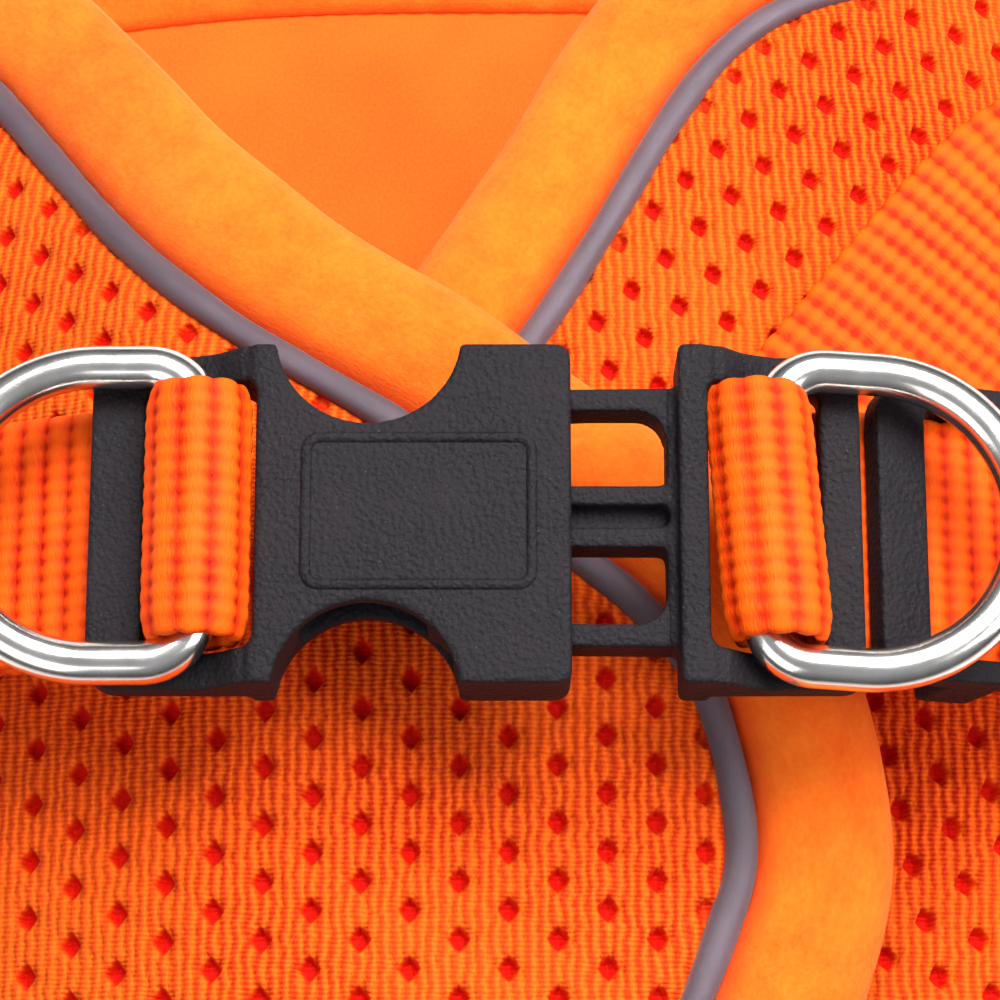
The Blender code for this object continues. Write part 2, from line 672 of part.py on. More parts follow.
def make_male():
    """The plug half: shoulder, rails and bar round the slot, a web and the grooved centre guide."""
    half = BUCKLE_HALF_WIDTH
    shoulder = rounded_box(SHOULDER_X, MALE_SLOT_X + 0.3, -half, half, 0.4, 2)
    body = prism("buckle_male", shoulder, BODY_LOW + 0.2, BODY_HIGH - 0.2)
    bevel(body, 0.5)
    frame = rounded_box(SHOULDER_X + 0.7, MALE_END_X, -half + 0.1, half - 0.1, 1.6)
    tail = prism("male_tail", frame, TAIL_LOW, TAIL_HIGH)
    bevel(tail, 0.5)
    combine(body, "UNION", tail)
    side_ramps(body, "male", MALE_SLOT_X - 0.6, MALE_SLOT_X + 3.0)
    web = rounded_box(ARM_ROOT_X + 0.3, SHOULDER_X + 0.7, -ARM_OUTER_Y, ARM_OUTER_Y, 0.3, 2)
    combine(body, "UNION", prism("male_web", web, TONGUE_LOW - 0.15, TONGUE_HIGH + 0.15))
    guide_outline = rounded_box(GUIDE_TIP_X, ARM_ROOT_X + 1.0, -GUIDE_HALF_WIDTH, GUIDE_HALF_WIDTH, 0.8, 3)
    guide = prism("male_guide", guide_outline, TONGUE_LOW, TONGUE_HIGH)
    combine(body, "UNION", guide)
    groove = rounded_box(GUIDE_TIP_X + 1.5, ARM_ROOT_X + 0.6, -0.9, 0.9, 0.85, 4)
    combine(body, "DIFFERENCE", prism("male_groove", groove, TONGUE_HIGH - 1.6, TONGUE_HIGH + 1.0))
    slot = rounded_box(MALE_SLOT_X, MALE_BAR_X, -SLOT_HALF_WIDTH, SLOT_HALF_WIDTH, 1.0, 3)
    combine(body, "DIFFERENCE", prism("male_slot", slot, BODY_LOW - 2.0, BODY_HIGH + 2.0))
    return body


def arm_outline():
    """The upper arm seen from above: a slim spring with a catch head at its tip."""
    outer = [(ARM_ROOT_X, ARM_OUTER_Y), (5.0, ARM_OUTER_Y - 0.1), (1.4, ARM_OUTER_Y - 0.4), (1.0, 11.0)]
    outer += [(-1.6, 11.0), (-4.2, 10.0)]
    tip = arc(ARM_TIP_X + 1.1, 8.2, 1.1, 100, 235, 4)
    inner = [(-1.5, 7.0), (1.2, 7.6), (3.5, 8.5), *arc(ARM_ROOT_X - 2.2, 6.6, 2.2, 90, 12, 5), (ARM_ROOT_X, 6.9)]
    return outer + tip + inner


def make_arms():
    for name, sign in (("upper_arm", 1), ("lower_arm", -1)):
        pivot = (ARM_ROOT_X, sign * (ARM_OUTER_Y - 1.0), BUCKLE_Z)
        outline = [(x - pivot[0], sign * y - pivot[1]) for x, y in arm_outline()]
        made = prism(name, outline, TONGUE_LOW - BUCKLE_Z, TONGUE_HIGH - BUCKLE_Z, origin=pivot)
        bevel(made, 0.3, segments=1)


def ring_line():
    """The middle of the ring's wire, from its straight side, as (distance from that side, y)."""
    corner = arc(RING_CORNER, RING_HALF_WIDTH - RING_CORNER, RING_CORNER, 180, 90, 5)
    bow = arc(RING_ARC_X, 0.0, RING_HALF_WIDTH, 90, -90, 16)
    straight = RING_HALF_WIDTH - RING_CORNER
    wire_side = [(0.0, -straight * 0.5), (0.0, 0.0), (0.0, straight * 0.5)]
    return corner + bow + [(x, -y) for x, y in reversed(corner)] + wire_side


def make_ring(name, bar_x, side):
    """A D-ring lying flat. Its straight wire is over the slot, and its bow reaches past the bar."""
    sides = 8
    line = [Vector((side * x, y, 0.0)) for x, y in ring_line()]
    rings = []
    for p, t in zip(line, tangents(line, closed=True)):
        out = t.cross(Vector((0, 0, 1)))
        angles = [2 * math.pi * k / sides for k in range(sides)]
        rings.append(
            [p + (out * math.cos(a) + Vector((0, 0, 1)) * math.sin(a)) * RING_WIRE_RADIUS for a in angles]
        )
    loft(name, rings, "steel", closed=True, origin=(bar_x - side * RING_FROM_BAR, 0.0, RING_Z))


def make_slider():
    """The strap adjuster: a frame whose centre bar lies below the strap and whose end bars lie above it."""
    length, half = SLIDER_HALF_LENGTH, SLIDER_HALF_WIDTH
    centre = strap_line(SLIDER_DISTANCE)
    placing = {"origin": centre, "tilt": STRAP_SLOPE}
    clear = WEBBING_THICKNESS / 2 + WEBBING_GAP
    slider = prism("slider", rounded_box(-length, length, -half, half, 3.2), clear, clear + 2.6, **placing)
    bevel(slider, 0.7)
    window = rounded_box(-length + 4.2, length - 4.2, -half + 1.9, half - 1.9, 1.4, 3)
    combine(slider, "DIFFERENCE", prism("slider_window", window, -20.0, 20.0, **placing))
    bar_top = -clear - WEBBING_THICKNESS - WEBBING_GAP
    bar = [(-1.6, bar_top - 1.5), (1.6, bar_top - 1.5), (1.6, bar_top), (-1.6, bar_top)]
    sections = [[(x, y, z) for x, z in bar] for y in (-half + 0.6, half - 0.6)]
    combine(slider, "UNION", loft("slider_centre_bar", sections, "plastic", **placing))
    for label, sign in (("upper", 1), ("lower", -1)):
        post = rounded_box(-2.4, 2.4, sign * (half - 1.0) - 0.8, sign * (half - 1.0) + 0.8, 0.4, 2)
        combine(slider, "UNION", prism(f"slider_{label}_post", post, bar_top - 1.3, clear + 1.2, **placing))
    make_slider_loop(placing, -clear - WEBBING_THICKNESS / 2, bar_top - 1.5 - WEBBING_GAP - WEBBING_THICKNESS / 2)


def make_slider_loop(placing, top, bottom):
    """The strap's end, wrapped round the slider's centre bar and sewn to itself."""
    reach = 1.9 + WEBBING_GAP
    middle, radius = (top + bottom) / 2, (top - bottom) / 2
    turn = [(reach + radius * math.cos(math.radians(a)), middle + radius * math.sin(math.radians(a))) for a in (70, 25, -25, -70)]
    path = [(-5.0, top), (-2.5, top), (0.5, top), *turn, (0.5, bottom), (-1.6, bottom + 0.2), (-3.4, top - 2.9), (-5.0, top - 2.3)]
    loft("slider_loop", free_webbing(spline(flat_path(path), 1.6)), "webbing", **placing)


def main():
    clear_scene()
    make_panels()
    make_edges()
    make_leg_bindings()
    make_closure_patches()
    make_left_strap()
    make_right_straps()
    make_shoulder_straps()
    make_female()
    make_male()
    make_arms()
    make_ring("left_ring", FEMALE_BAR_X, -1)
    make_ring("right_ring", MALE_BAR_X, 1)
    make_slider()


main()
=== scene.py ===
"""Looks for the wrap-around vest harness: cloth, trims, webbing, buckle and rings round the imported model.

Lengths in this file are millimetres and become metres where a mesh is made. The vest is drawn in its flat
cut (u, v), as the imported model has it: u runs round the girth from the belly's centre, positive towards +X,
and v runs along the dog. vest() bends the cut into the closed vest.
"""

import math

import bmesh
import bpy
import numpy as np
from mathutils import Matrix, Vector


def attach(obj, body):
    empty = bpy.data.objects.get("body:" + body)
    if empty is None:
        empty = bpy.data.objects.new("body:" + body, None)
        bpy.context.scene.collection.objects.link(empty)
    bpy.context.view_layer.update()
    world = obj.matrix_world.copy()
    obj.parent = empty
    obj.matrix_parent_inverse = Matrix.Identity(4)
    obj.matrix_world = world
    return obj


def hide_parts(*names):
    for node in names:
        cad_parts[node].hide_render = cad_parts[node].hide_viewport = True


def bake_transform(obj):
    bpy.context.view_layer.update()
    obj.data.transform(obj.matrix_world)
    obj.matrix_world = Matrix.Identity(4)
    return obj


MM = 0.001

# The closed vest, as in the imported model.
BELLY_HALF, SIDE_RADIUS, TOP_RISE = 52.0, 28.0, 10.0
NECK_TAPER, TAPER_LENGTH = 0.12, 80.0
MESH_TOP = 1.6
LINING_HEIGHT = -1.6
LAP_START, LAP_RAMP, LAP_STEP = 140.0, 32.0, 3.4
SEAM_U = 70.0
PATCH_X, PATCH_Y = (-14.5, 5.5), (-46.0, -21.0)
LEG_HOLE_V, LEG_HOLE_HALF_U, LEG_HOLE_HALF_V, LEG_HOLE_ROUNDNESS = 18.0, 26.0, 30.0, 1.4

# Air mesh: a diamond lattice of holes.
HOLE_PITCH_U, HOLE_PITCH_V = 7.7, 4.7
HOLE_HALF_U, HOLE_HALF_V, HOLE_DEPTH = 0.84, 1.04, 1.1
WALE_PITCH, COURSE_PITCH = 0.95, 0.40

# Webbing.
WEBBING_WIDTH, WEBBING_THICKNESS, WEBBING_GAP = 19.5, 1.8, 0.35
RIB_PITCH, CORD_PITCH, RIB_HEIGHT, RIB_SINK = 2.2, 1.36, 0.56, 0.76

# Buckle and rings.
BUCKLE_HALF_WIDTH = 13.5
BODY_LOW, BODY_HIGH, TAIL_LOW, TAIL_HIGH = 82.2, 89.8, 83.5, 86.5
SOCKET_LOW, SOCKET_HIGH, TONGUE_LOW, TONGUE_HIGH = 83.8, 88.2, 84.1, 87.9
THROUGH = (BODY_LOW - 2.0, BODY_HIGH + 2.0)
MOUTH_X, BODY_X, FEMALE_BAR_X, FEMALE_END_X = 5.5, -18.9, -27.7, -32.0
SOCKET_HALF_WIDTH, SOCKET_END_X = 11.3, -15.5
NOTCH_X, NOTCH_Y, NOTCH_RADIUS = -10.25, 14.3, 7.2
SLOT_HALF_WIDTH = 10.6
SHOULDER_X, MALE_SLOT_X, MALE_BAR_X, MALE_END_X = 13.8, 16.1, 25.0, 28.2
ARM_ROOT_X, ARM_TIP_X, ARM_OUTER_Y = 12.6, -5.7, 10.4
GUIDE_HALF_WIDTH, GUIDE_TIP_X = 2.45, -2.5
RING_WIRE_RADIUS, RING_HALF_WIDTH, RING_CORNER, RING_ARC_X, RING_Z = 1.7, 11.8, 4.0, 8.0, 88.6
RING_FROM_BAR, RING_TURN_X, RING_TURN_Z = 4.35, 3.2, 3.0
RIGHT_RING_YAW = math.radians(-4.0)

# Strap adjuster.
STRAP_SLOPE = math.radians(20)
STRAP_START = (31.0, 81.0)
SLIDER_DISTANCE, SLIDER_HALF_LENGTH, SLIDER_HALF_WIDTH = 6.4, 9.2, 12.1

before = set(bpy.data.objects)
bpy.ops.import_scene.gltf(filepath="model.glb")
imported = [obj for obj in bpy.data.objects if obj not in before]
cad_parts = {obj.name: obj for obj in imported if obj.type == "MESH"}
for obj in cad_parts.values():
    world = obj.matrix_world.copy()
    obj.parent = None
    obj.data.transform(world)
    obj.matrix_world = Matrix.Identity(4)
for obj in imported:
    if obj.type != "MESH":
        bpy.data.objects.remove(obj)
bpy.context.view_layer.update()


# ---------------------------------------------------------------- the vest's surface

_half_angle = 2 * math.atan(TOP_RISE / BELLY_HALF)
TOP_RADIUS = SIDE_RADIUS + BELLY_HALF / math.sin(_half_angle)
TOP_CENTRE_Z = SIDE_RADIUS - (TOP_RADIUS - SIDE_RADIUS) * math.cos(_half_angle)
SIDE_LENGTH = SIDE_RADIUS * (math.pi - _half_angle)
HALF_GIRTH = BELLY_HALF + SIDE_LENGTH + TOP_RADIUS * _half_angle


def smooth_step(t):
    t = np.clip(t, 0.0, 1.0)
    return t * t * (3 - 2 * t)


def ripple(u, v):
    """The cloth's soft unevenness, the same for every layer. It dies out on the belly, which lies flat."""
    raised = smooth_step((np.abs(u) - 60.0) / 40.0)
    waves = 0.35 * np.sin(0.11 * u + 0.05 * v + 1.0) + 0.3 * np.sin(0.067 * u - 0.13 * v + 2.0)
    waves = waves + 0.22 * np.sin(0.21 * u + 0.17 * v) * np.sin(0.09 * v - 0.8)
    return raised * waves


def vest(u, v, height):
    """Places, in millimetres, of flat-cut points that stand height above the middle of the cloth."""
    u, v, height = np.broadcast_arrays(*(np.asarray(a, float) for a in (u, v, height)))
    wrapped = (u + HALF_GIRTH) % (2 * HALF_GIRTH) - HALF_GIRTH
    side, along = np.where(wrapped < 0, -1.0, 1.0), np.abs(wrapped)
    turn = (along - BELLY_HALF) / SIDE_RADIUS
    arch = (HALF_GIRTH - along) / TOP_RADIUS
    zones = [along <= BELLY_HALF, along <= BELLY_HALF + SIDE_LENGTH]

    def in_zone(belly, flank, top):
        return np.select(zones, [belly, flank], top)

    x = in_zone(along, BELLY_HALF + SIDE_RADIUS * np.sin(turn), TOP_RADIUS * np.sin(arch))
    z = in_zone(0.0, SIDE_RADIUS * (1 - np.cos(turn)), TOP_CENTRE_Z + TOP_RADIUS * np.cos(arch))
    normal_x = in_zone(0.0, np.sin(turn), np.sin(arch))
    normal_z = in_zone(-1.0, -np.cos(turn), np.cos(arch))
    taper = 1 - NECK_TAPER * smooth_step(v / TAPER_LENGTH)
    lap = -np.sign(u) * LAP_STEP * smooth_step((np.abs(u) - LAP_START) / LAP_RAMP)
    out = height + lap + ripple(u, v)
    return np.stack([side * (taper * x + normal_x * out), v, MESH_TOP + taper * z + normal_z * out], -1)


def above_the_floor(u, height):
    """Heights that stay within the cloth's outer face on the belly, which lies on the floor."""
    free = smooth_step((np.abs(u) - BELLY_HALF) / 20.0)
    return np.where(height > MESH_TOP, MESH_TOP + (height - MESH_TOP) * free, height)


def on_top(x, y, side):
    """The flat-cut point of the left (-1) or right (+1) wing at x, y on top of the vest."""
    return (side * (HALF_GIRTH - side * TOP_RADIUS * math.asin(x / TOP_RADIUS)), y)


# ---------------------------------------------------------------- curves


def spline(points, spacing, closed=False):
    """Rows of numbers about this far apart on a smooth curve through the given ones (Catmull-Rom)."""
    points = np.asarray(points, float)
    count = len(points)
    made = []
    for i in range(count if closed else count - 1):
        if closed:
            p0, p1, p2, p3 = (points[(i + k) % count] for k in (-1, 0, 1, 2))
        else:
            p1, p2 = points[i], points[i + 1]
            p0 = points[i - 1] if i else 2 * p1 - p2
            p3 = points[i + 2] if i + 2 < count else 2 * p2 - p1
        span = (p2 - p1).reshape(-1, p1.shape[-1])
        steps = max(1, round(float(np.linalg.norm(span, axis=1).mean()) / spacing))
        for t in np.arange(steps) / steps:
            bend = (2 * p0 - 5 * p1 + 4 * p2 - p3) * t * t + (3 * p1 - p0 - 3 * p2 + p3) * t**3
            made.append(0.5 * (2 * p1 + (p2 - p0) * t + bend))
    if not closed:
        made.append(points[-1])
    return np.array(made)


def travelled(line):
    """The distance along a line at each of its points."""
    return np.concatenate([[0.0], np.cumsum(np.linalg.norm(np.diff(line, axis=0), axis=1))])


def even(points, spacing, closed=False):
    """The same line with its points evenly spaced."""
    points = np.asarray(points, float)
    line = np.vstack([points, points[:1]]) if closed else points
    lengths = travelled(line)
    count = max(2, round(lengths[-1] / spacing))
    at = np.linspace(0.0, lengths[-1], count + 1)
    made = np.stack([np.interp(at, lengths, line[:, k]) for k in range(line.shape[1])], -1)
    return made[:-1] if closed else made


def unit(vectors):
    return vectors / np.linalg.norm(vectors, axis=-1, keepdims=True)


def tangents(points, closed=False):
    """The line's direction at each of its points."""
    if closed:
        step = np.roll(points, -1, axis=0) - np.roll(points, 1, axis=0)
    else:
        step = np.gradient(points, axis=0)
    return unit(step)


def circle(count):
    """The cosines and sines of evenly spaced angles."""
    angles = np.arange(count) * 2 * math.pi / count
    return np.cos(angles), np.sin(angles)


def arc(cx, cy, radius, start, end, steps):
    angles = np.radians(np.linspace(start, end, steps + 1))
    return [(cx + radius * math.cos(a), cy + radius * math.sin(a)) for a in angles]


def rounded_box(x0, x1, y0, y1, radius, steps=8):
    return (
        arc(x1 - radius, y0 + radius, radius, -90, 0, steps)
        + arc(x1 - radius, y1 - radius, radius, 0, 90, steps)
        + arc(x0 + radius, y1 - radius, radius, 90, 180, steps)
        + arc(x0 + radius, y0 + radius, radius, 180, 270, steps)
    )


# ---------------------------------------------------------------- meshes


def new_mesh(name, points, faces, material, smooth=True):
    mesh = bpy.data.meshes.new(name)
    mesh.from_pydata((np.asarray(points, float) * MM).tolist(), [], faces)
    mesh.update()
    if smooth:
        mesh.shade_smooth()
    if material:
        mesh.materials.append(material)
    made = bpy.data.objects.new(name, mesh)
    bpy.context.scene.collection.objects.link(made)
    return made


def outwards(obj):
    work = bmesh.new()
    work.from_mesh(obj.data)
    bmesh.ops.recalc_face_normals(work, faces=work.faces)
    work.to_mesh(obj.data)
    work.free()
    return obj


def grid_faces(rows, columns, around=False, along=False):
    """Quads of a grid of points. around closes each row, and along joins the last row to the first."""
    shape = (rows if along else rows - 1, columns if around else columns - 1)
    i, j = (a.ravel() for a in np.indices(shape))
    i2, j2 = (i + 1) % rows, (j + 1) % columns
    return np.stack([i * columns + j, i * columns + j2, i2 * columns + j2, i2 * columns + j], -1).tolist()


def tube(name, rings, material, closed=False):
    """A solid skin through an array of rings (count, ring, 3), with end caps unless it is closed."""
    count, ring = rings.shape[:2]
    faces = grid_faces(count, ring, around=True, along=closed)
    if not closed:
        faces.append(list(range(ring))[::-1])
        faces.append(list(range((count - 1) * ring, count * ring)))
    return outwards(new_mesh(name, rings.reshape(-1, 3), faces, material))


def paint(obj, name, values):
    """Stores a number for each vertex, for the materials to read."""
    obj.data.attributes.new(name, "FLOAT", "POINT").data.foreach_set("value", np.asarray(values, np.float32))


def lay_out(obj, u, v):
    """Stores each vertex's place in the flat cut, in millimetres, as the UV map."""
    layer = obj.data.uv_layers.new(name="flat_cut")
    loops = np.zeros(len(obj.data.loops), np.int64)
    obj.data.loops.foreach_get("vertex_index", loops)
    layer.data.foreach_set("uv", np.stack([u[loops], v[loops]], -1).astype(np.float32).ravel())


def dress(piece, body, slot, *nodes):
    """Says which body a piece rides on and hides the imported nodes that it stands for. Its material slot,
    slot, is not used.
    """
    if body:
        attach(piece, body)
    if nodes:
        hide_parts(*nodes)


# ---------------------------------------------------------------- materials


def linear(colour):
    """A colour from 0-255 screen values."""
    return [((c / 255 + 0.055) / 1.055) ** 2.4 if c > 10 else c / 255 / 12.92 for c in colour] + [1.0]


class Nodes:
    """A short way to write a material's nodes."""

    def __init__(self, name, roughness, metallic=0.0):
        self.material = bpy.data.materials.new(name)
        self.material.use_nodes = True
        self.tree = self.material.node_tree
        self.shader = self.tree.nodes["Principled BSDF"]
        self.set(Roughness=roughness, Metallic=metallic)

    def set(self, **values):
        for key, value in values.items():
            self.shader.inputs[key.replace("_", " ")].default_value = value

    def node(self, kind, settings=(), output=0, **inputs):
        """A node's output. An input is named, or numbered as i0, i1 and so on."""
        made = self.tree.nodes.new(kind)
        for key, value in settings:
            setattr(made, key, value)
        for key, value in inputs.items():
            socket = made.inputs[int(key[1:]) if key[1:].isdigit() else key]
            if isinstance(value, bpy.types.NodeSocket):
                self.tree.links.new(value, socket)
            else:
                socket.default_value = value
        return made.outputs[output]

    def math(self, operation, a, b=0.0, c=0.0):
        return self.node("ShaderNodeMath", [("operation", operation)], i0=a, i1=b, i2=c)

    def total(self, *parts):
        """The sum of values, each given with its weight."""
        made = 0.0
        for value, weight in parts:
            made = self.math("MULTIPLY_ADD", value, weight, made)
        return made

    def mix(self, factor, a, b):
        """A blend of two colours, each a node's output or three screen values."""
        a, b = (linear(colour) if isinstance(colour, tuple) else colour for colour in (a, b))
        return self.node("ShaderNodeMix", [("data_type", "RGBA")], 2, i0=factor, i6=a, i7=b)

    def attribute(self, name):
        return self.node("ShaderNodeAttribute", [("attribute_name", name)], "Fac")

    def place(self, scale=1.0):
        """The place in the model, in millimetres times scale."""
        coords = self.node("ShaderNodeTexCoord", output="Object")
        return self.node("ShaderNodeMapping", Vector=coords, Scale=(scale / MM,) * 3)

    def cut(self, scale=(1.0, 1.0, 1.0)):
        """The place in the flat cut, in millimetres times scale."""
        coords = self.node("ShaderNodeUVMap", [("uv_map", "flat_cut")])
        return self.node("ShaderNodeMapping", Vector=coords, Scale=scale)

    def noise(self, vector, scale, detail=2.0, roughness=0.5):
        return self.node("ShaderNodeTexNoise", Vector=vector, Scale=scale, Detail=detail, Roughness=roughness)

    def ramp(self, value, low, high):
        """0 at low and 1 at high."""
        return self.node("ShaderNodeMapRange", [("clamp", True)], i0=value, i1=low, i2=high)

    def shades(self, value, low, high, dark, light):
        """A colour from dark at low to light at high."""
        return self.mix(self.ramp(value, low, high), dark, light)

    def colour(self, value):
        self.tree.links.new(value, self.shader.inputs["Base Color"])

    def roughness(self, value):
        self.tree.links.new(value, self.shader.inputs["Roughness"])

    def bump(self, height, distance, strength=1.0):
        made = self.node("ShaderNodeBump", Height=height, Distance=distance, Strength=strength)
        self.tree.links.new(made, self.shader.inputs["Normal"])


def mesh_material():
    """Knitted air mesh: upright wales and fine courses."""
    n = Nodes("air_mesh", 0.62)
    flat = n.cut()
    warp = n.noise(flat, 0.45)
    across, up = (n.node("ShaderNodeSeparateXYZ", output=axis, i0=flat) for axis in (0, 1))
    wale, course = 2 * math.pi / WALE_PITCH, 2 * math.pi / COURSE_PITCH
    wales = n.math("SINE", n.total((across, wale), (warp, 0.9 * wale)))
    courses = n.math("SINE", n.total((up, course), (warp, 0.5 * course)))
    threads = n.noise(n.cut((3.2, 1.5, 1.0)), 1.0, 3.0, 0.65)
    height = n.total((wales, 0.375), (courses, 0.15), (threads, 1.0))
    n.bump(height, 0.00022, 0.9)
    broad = n.noise(n.cut((0.03, 0.03, 1.0)), 1.0)
    # Painted shade: the knit is painted darker where its surface is low, between the wales and courses, and
    # lighter on its crests.
    colour = n.shades(height, 0.1, 1.1, (176, 20, 1), (255, 102, 18))
    colour = n.mix(n.ramp(broad, 0.3, 0.7), colour, n.mix(0.35, colour, (255, 112, 26)))
    # Painted shade: the holes are painted deep red, darker the deeper into each hole.
    n.colour(n.mix(n.attribute("hole_shade"), colour, (206, 16, 2)))
    n.set(Sheen_Weight=0.08, Sheen_Roughness=0.4, Sheen_Tint=linear((255, 170, 90)), Specular_IOR_Level=0.08)
    return n.material


def lining_material():
    n = Nodes("smooth_lining", 0.8)
    flat = n.cut()
    fine = n.noise(flat, 2.6, 3.0, 0.6)
    n.bump(fine, 0.00008, 0.6)
    shade = n.total((fine, 1.0), (n.noise(flat, 0.05), 1.0))
    n.colour(n.shades(shade, 0.6, 1.4, (255, 80, 8), (255, 110, 20)))
    n.set(Specular_IOR_Level=0.2, Sheen_Weight=0.1, Sheen_Roughness=0.5)
    return n.material


def band_material():
    """Soft brushed cloth: short fibres that catch the light."""
    n = Nodes("brushed_band", 0.9)
    flat = n.cut()
    fibres = n.noise(flat, 1.7, 5.0, 0.75)
    clumps = n.noise(flat, 0.32, 3.0, 0.6)
    n.bump(n.total((fibres, 1.0), (clumps, 0.7)), 0.0005, 0.55)
    shade = n.total((fibres, 0.5), (clumps, 0.4), (n.noise(flat, 0.06), 0.4))
    colour = n.shades(shade, 0.45, 0.85, (244, 82, 8), (255, 124, 28))
    # Painted shade: the cloth is painted darker in the crease along its seam.
    n.colour(n.mix(n.attribute("seam"), colour, (226, 58, 6)))
    n.set(Specular_IOR_Level=0.15, Sheen_Weight=0.3, Sheen_Roughness=0.55, Sheen_Tint=linear((255, 196, 120)))
    return n.material


def piping_material():
    n = Nodes("reflective_piping", 0.42)
    flat = n.cut()
    grain = n.noise(flat, 3.4, 3.0, 0.7)
    n.bump(grain, 0.00009, 0.7)
    shade = n.total((grain, 0.6), (n.noise(flat, 0.14), 0.5))
    n.colour(n.shades(shade, 0.3, 0.8, (66, 54, 62), (102, 86, 96)))
    n.roughness(n.ramp(grain, -0.4, 1.6))
    n.set(Metallic=0.25, Sheen_Weight=0.2)
    return n.material


def webbing_material():
    """Woven polyester, orange, with painted shade, deep orange to dark red, in the hollows between its ribs,
    and fine glossy threads.
    """
    n = Nodes("webbing", 0.5)
    threads = n.noise(n.cut((7.0, 1.4, 1.0)), 1.0, 2.0, 0.6)
    wear = n.noise(n.cut(), 0.25, 3.0)
    n.bump(threads, 0.00014, 0.8)
    # Painted shade: the colour darkens from the ribs' crests into the hollows between the ribs and the cords.
    height = n.math("ADD", n.attribute("ridge"), n.math("MULTIPLY", n.math("SUBTRACT", threads, 0.5), 0.35))
    low = n.shades(height, 0.02, 0.5, (118, 4, 0), (218, 40, 2))
    colour = n.mix(n.ramp(height, 0.45, 1.05), low, (246, 92, 8))
    n.colour(n.mix(n.ramp(wear, 0.35, 0.8), colour, n.mix(0.15, colour, (255, 130, 24))))
    n.roughness(n.ramp(threads, -0.55, 1.25))
    n.set(Specular_IOR_Level=0.1)
    return n.material


def thread_material():
    n = Nodes("orange_thread", 0.55)
    twist = n.noise(n.place(3.0), 1.0, 1.0)
    n.bump(twist, 0.00008, 0.6)
    n.colour(n.mix(twist, (240, 88, 8), (255, 134, 36)))
    n.set(Sheen_Weight=0.2)
    return n.material


def plastic_material():
    """Moulded acetal with a fine leather grain."""
    n = Nodes("black_plastic", 0.5)
    coords = n.place()
    cells = n.node("ShaderNodeTexVoronoi", [("feature", "SMOOTH_F1")], Vector=coords, Scale=2.6)
    fine = n.noise(coords, 4.6, 3.0, 0.6)
    n.bump(n.total((cells, 1.0), (fine, 0.55)), 0.00018, 0.8)
    broad = n.noise(coords, 0.16, 3.0)
    # Painted glints: small light specks in the colour stand in for light caught on the grain.
    painted_glints = n.ramp(n.noise(coords, 7.0, 1.0), 0.71, 0.78)
    colour = n.shades(broad, 0.3, 0.75, (20, 17, 20), (31, 27, 31))
    n.colour(n.mix(n.math("MULTIPLY", painted_glints, 0.35), colour, (120, 112, 116)))
    n.roughness(n.ramp(n.total((fine, 0.5), (broad, 0.5)), -0.9, 1.3))
    n.set(Specular_IOR_Level=0.16)
    return n.material


def nickel_material():
    n = Nodes("nickel_plate", 0.12, 1.0)
    coords = n.place()
    smudge = n.noise(coords, 0.35, 4.0, 0.6)
    fine = n.noise(coords, 5.0)
    n.colour(n.shades(smudge, 0.3, 0.75, (226, 220, 212), (240, 237, 232)))
    n.roughness(n.ramp(n.total((smudge, 0.7), (fine, 0.3)), -0.35, 3.8))
    n.bump(fine, 0.00001, 0.25)
    return n.material


def patch_material():
    n = Nodes("closure_tape", 0.9)
    fuzz = n.noise(n.place(1.4), 1.0, 4.0, 0.7)
    n.bump(fuzz, 0.0004, 0.8)
    n.colour(n.mix(fuzz, (214, 70, 8), (255, 118, 30)))
    return n.material


mesh_cloth, lining_cloth, band_cloth = mesh_material(), lining_material(), band_material()
piping_cloth, webbing_cloth, thread = piping_material(), webbing_material(), thread_material()
plastic, nickel, tape = plastic_material(), nickel_material(), patch_material()


# ---------------------------------------------------------------- the flat cut

# The piping's line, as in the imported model: in x, y on top of the vest, and in u, v elsewhere.
LEFT_EDGE = [(6.0, -52.5), (12.6, -41.0), (17.0, -30.5), (18.9, -22.5), (16.4, -10.6), (11.5, -3.6)]
LEFT_EDGE += [(6.0, 1.2), (-7.0, 11.4), (-16.5, 17.6), (-24.8, 23.4), (-33.2, 30.8), (-41.4, 39.6)]
LEFT_EDGE += [(-49.6, 48.2), (-58.0, 55.4)]
NECK = [(-120.0, 62.0), (-106.0, 64.5), (-90.0, 68.0), (-70.0, 73.5), (-35.0, 78.5), (0.0, 79.5)]
RIGHT_EDGE = [(60.0, 61.5), (44.0, 60.0), (31.0, 57.0), (23.0, 52.0), (16.8, 44.5), (10.4, 34.3), (5.2, 26.0)]
RIGHT_EDGE += [(1.4, 20.0), (-9.0, 1.0), (-18.0, -16.0), (-22.0, -34.0), (-21.0, -52.0)]
REAR_RIGHT = [(-14.0, -58.5), (20.0, -60.0), (55.0, -60.0)]
REAR = [(100.0, -58.0), (70.0, -56.0), (0.0, -55.0), (-70.0, -56.0), (-100.0, -58.0)]
REAR_LEFT = [(-55.0, -60.0), (-24.0, -60.0), (-4.0, -58.6)]


def edge_loop():
    """The closed line of the piping in the flat cut."""
    points = [on_top(x, y, -1) for x, y in LEFT_EDGE] + NECK
    points += [(-u, v) for u, v in NECK[-2::-1]] + [on_top(x, y, 1) for x, y in RIGHT_EDGE]
    points += [on_top(x, y, 1) for x, y in REAR_RIGHT] + REAR + [on_top(x, y, -1) for x, y in REAR_LEFT]
    return even(spline(points, 2.0, closed=True), 1.0, closed=True)


LOOP = edge_loop()
LOOP_ALONG = tangents(LOOP, closed=True)
LOOP_OUT = np.stack([-LOOP_ALONG[:, 1], LOOP_ALONG[:, 0]], -1)


def hole_edge(v):
    """How far the leg hole reaches from the seam line at v."""
    share = (v - LEG_HOLE_V) / LEG_HOLE_HALF_V
    return LEG_HOLE_HALF_U * np.maximum(0.0, 1 - share * share) ** (LEG_HOLE_ROUNDNESS / 2)


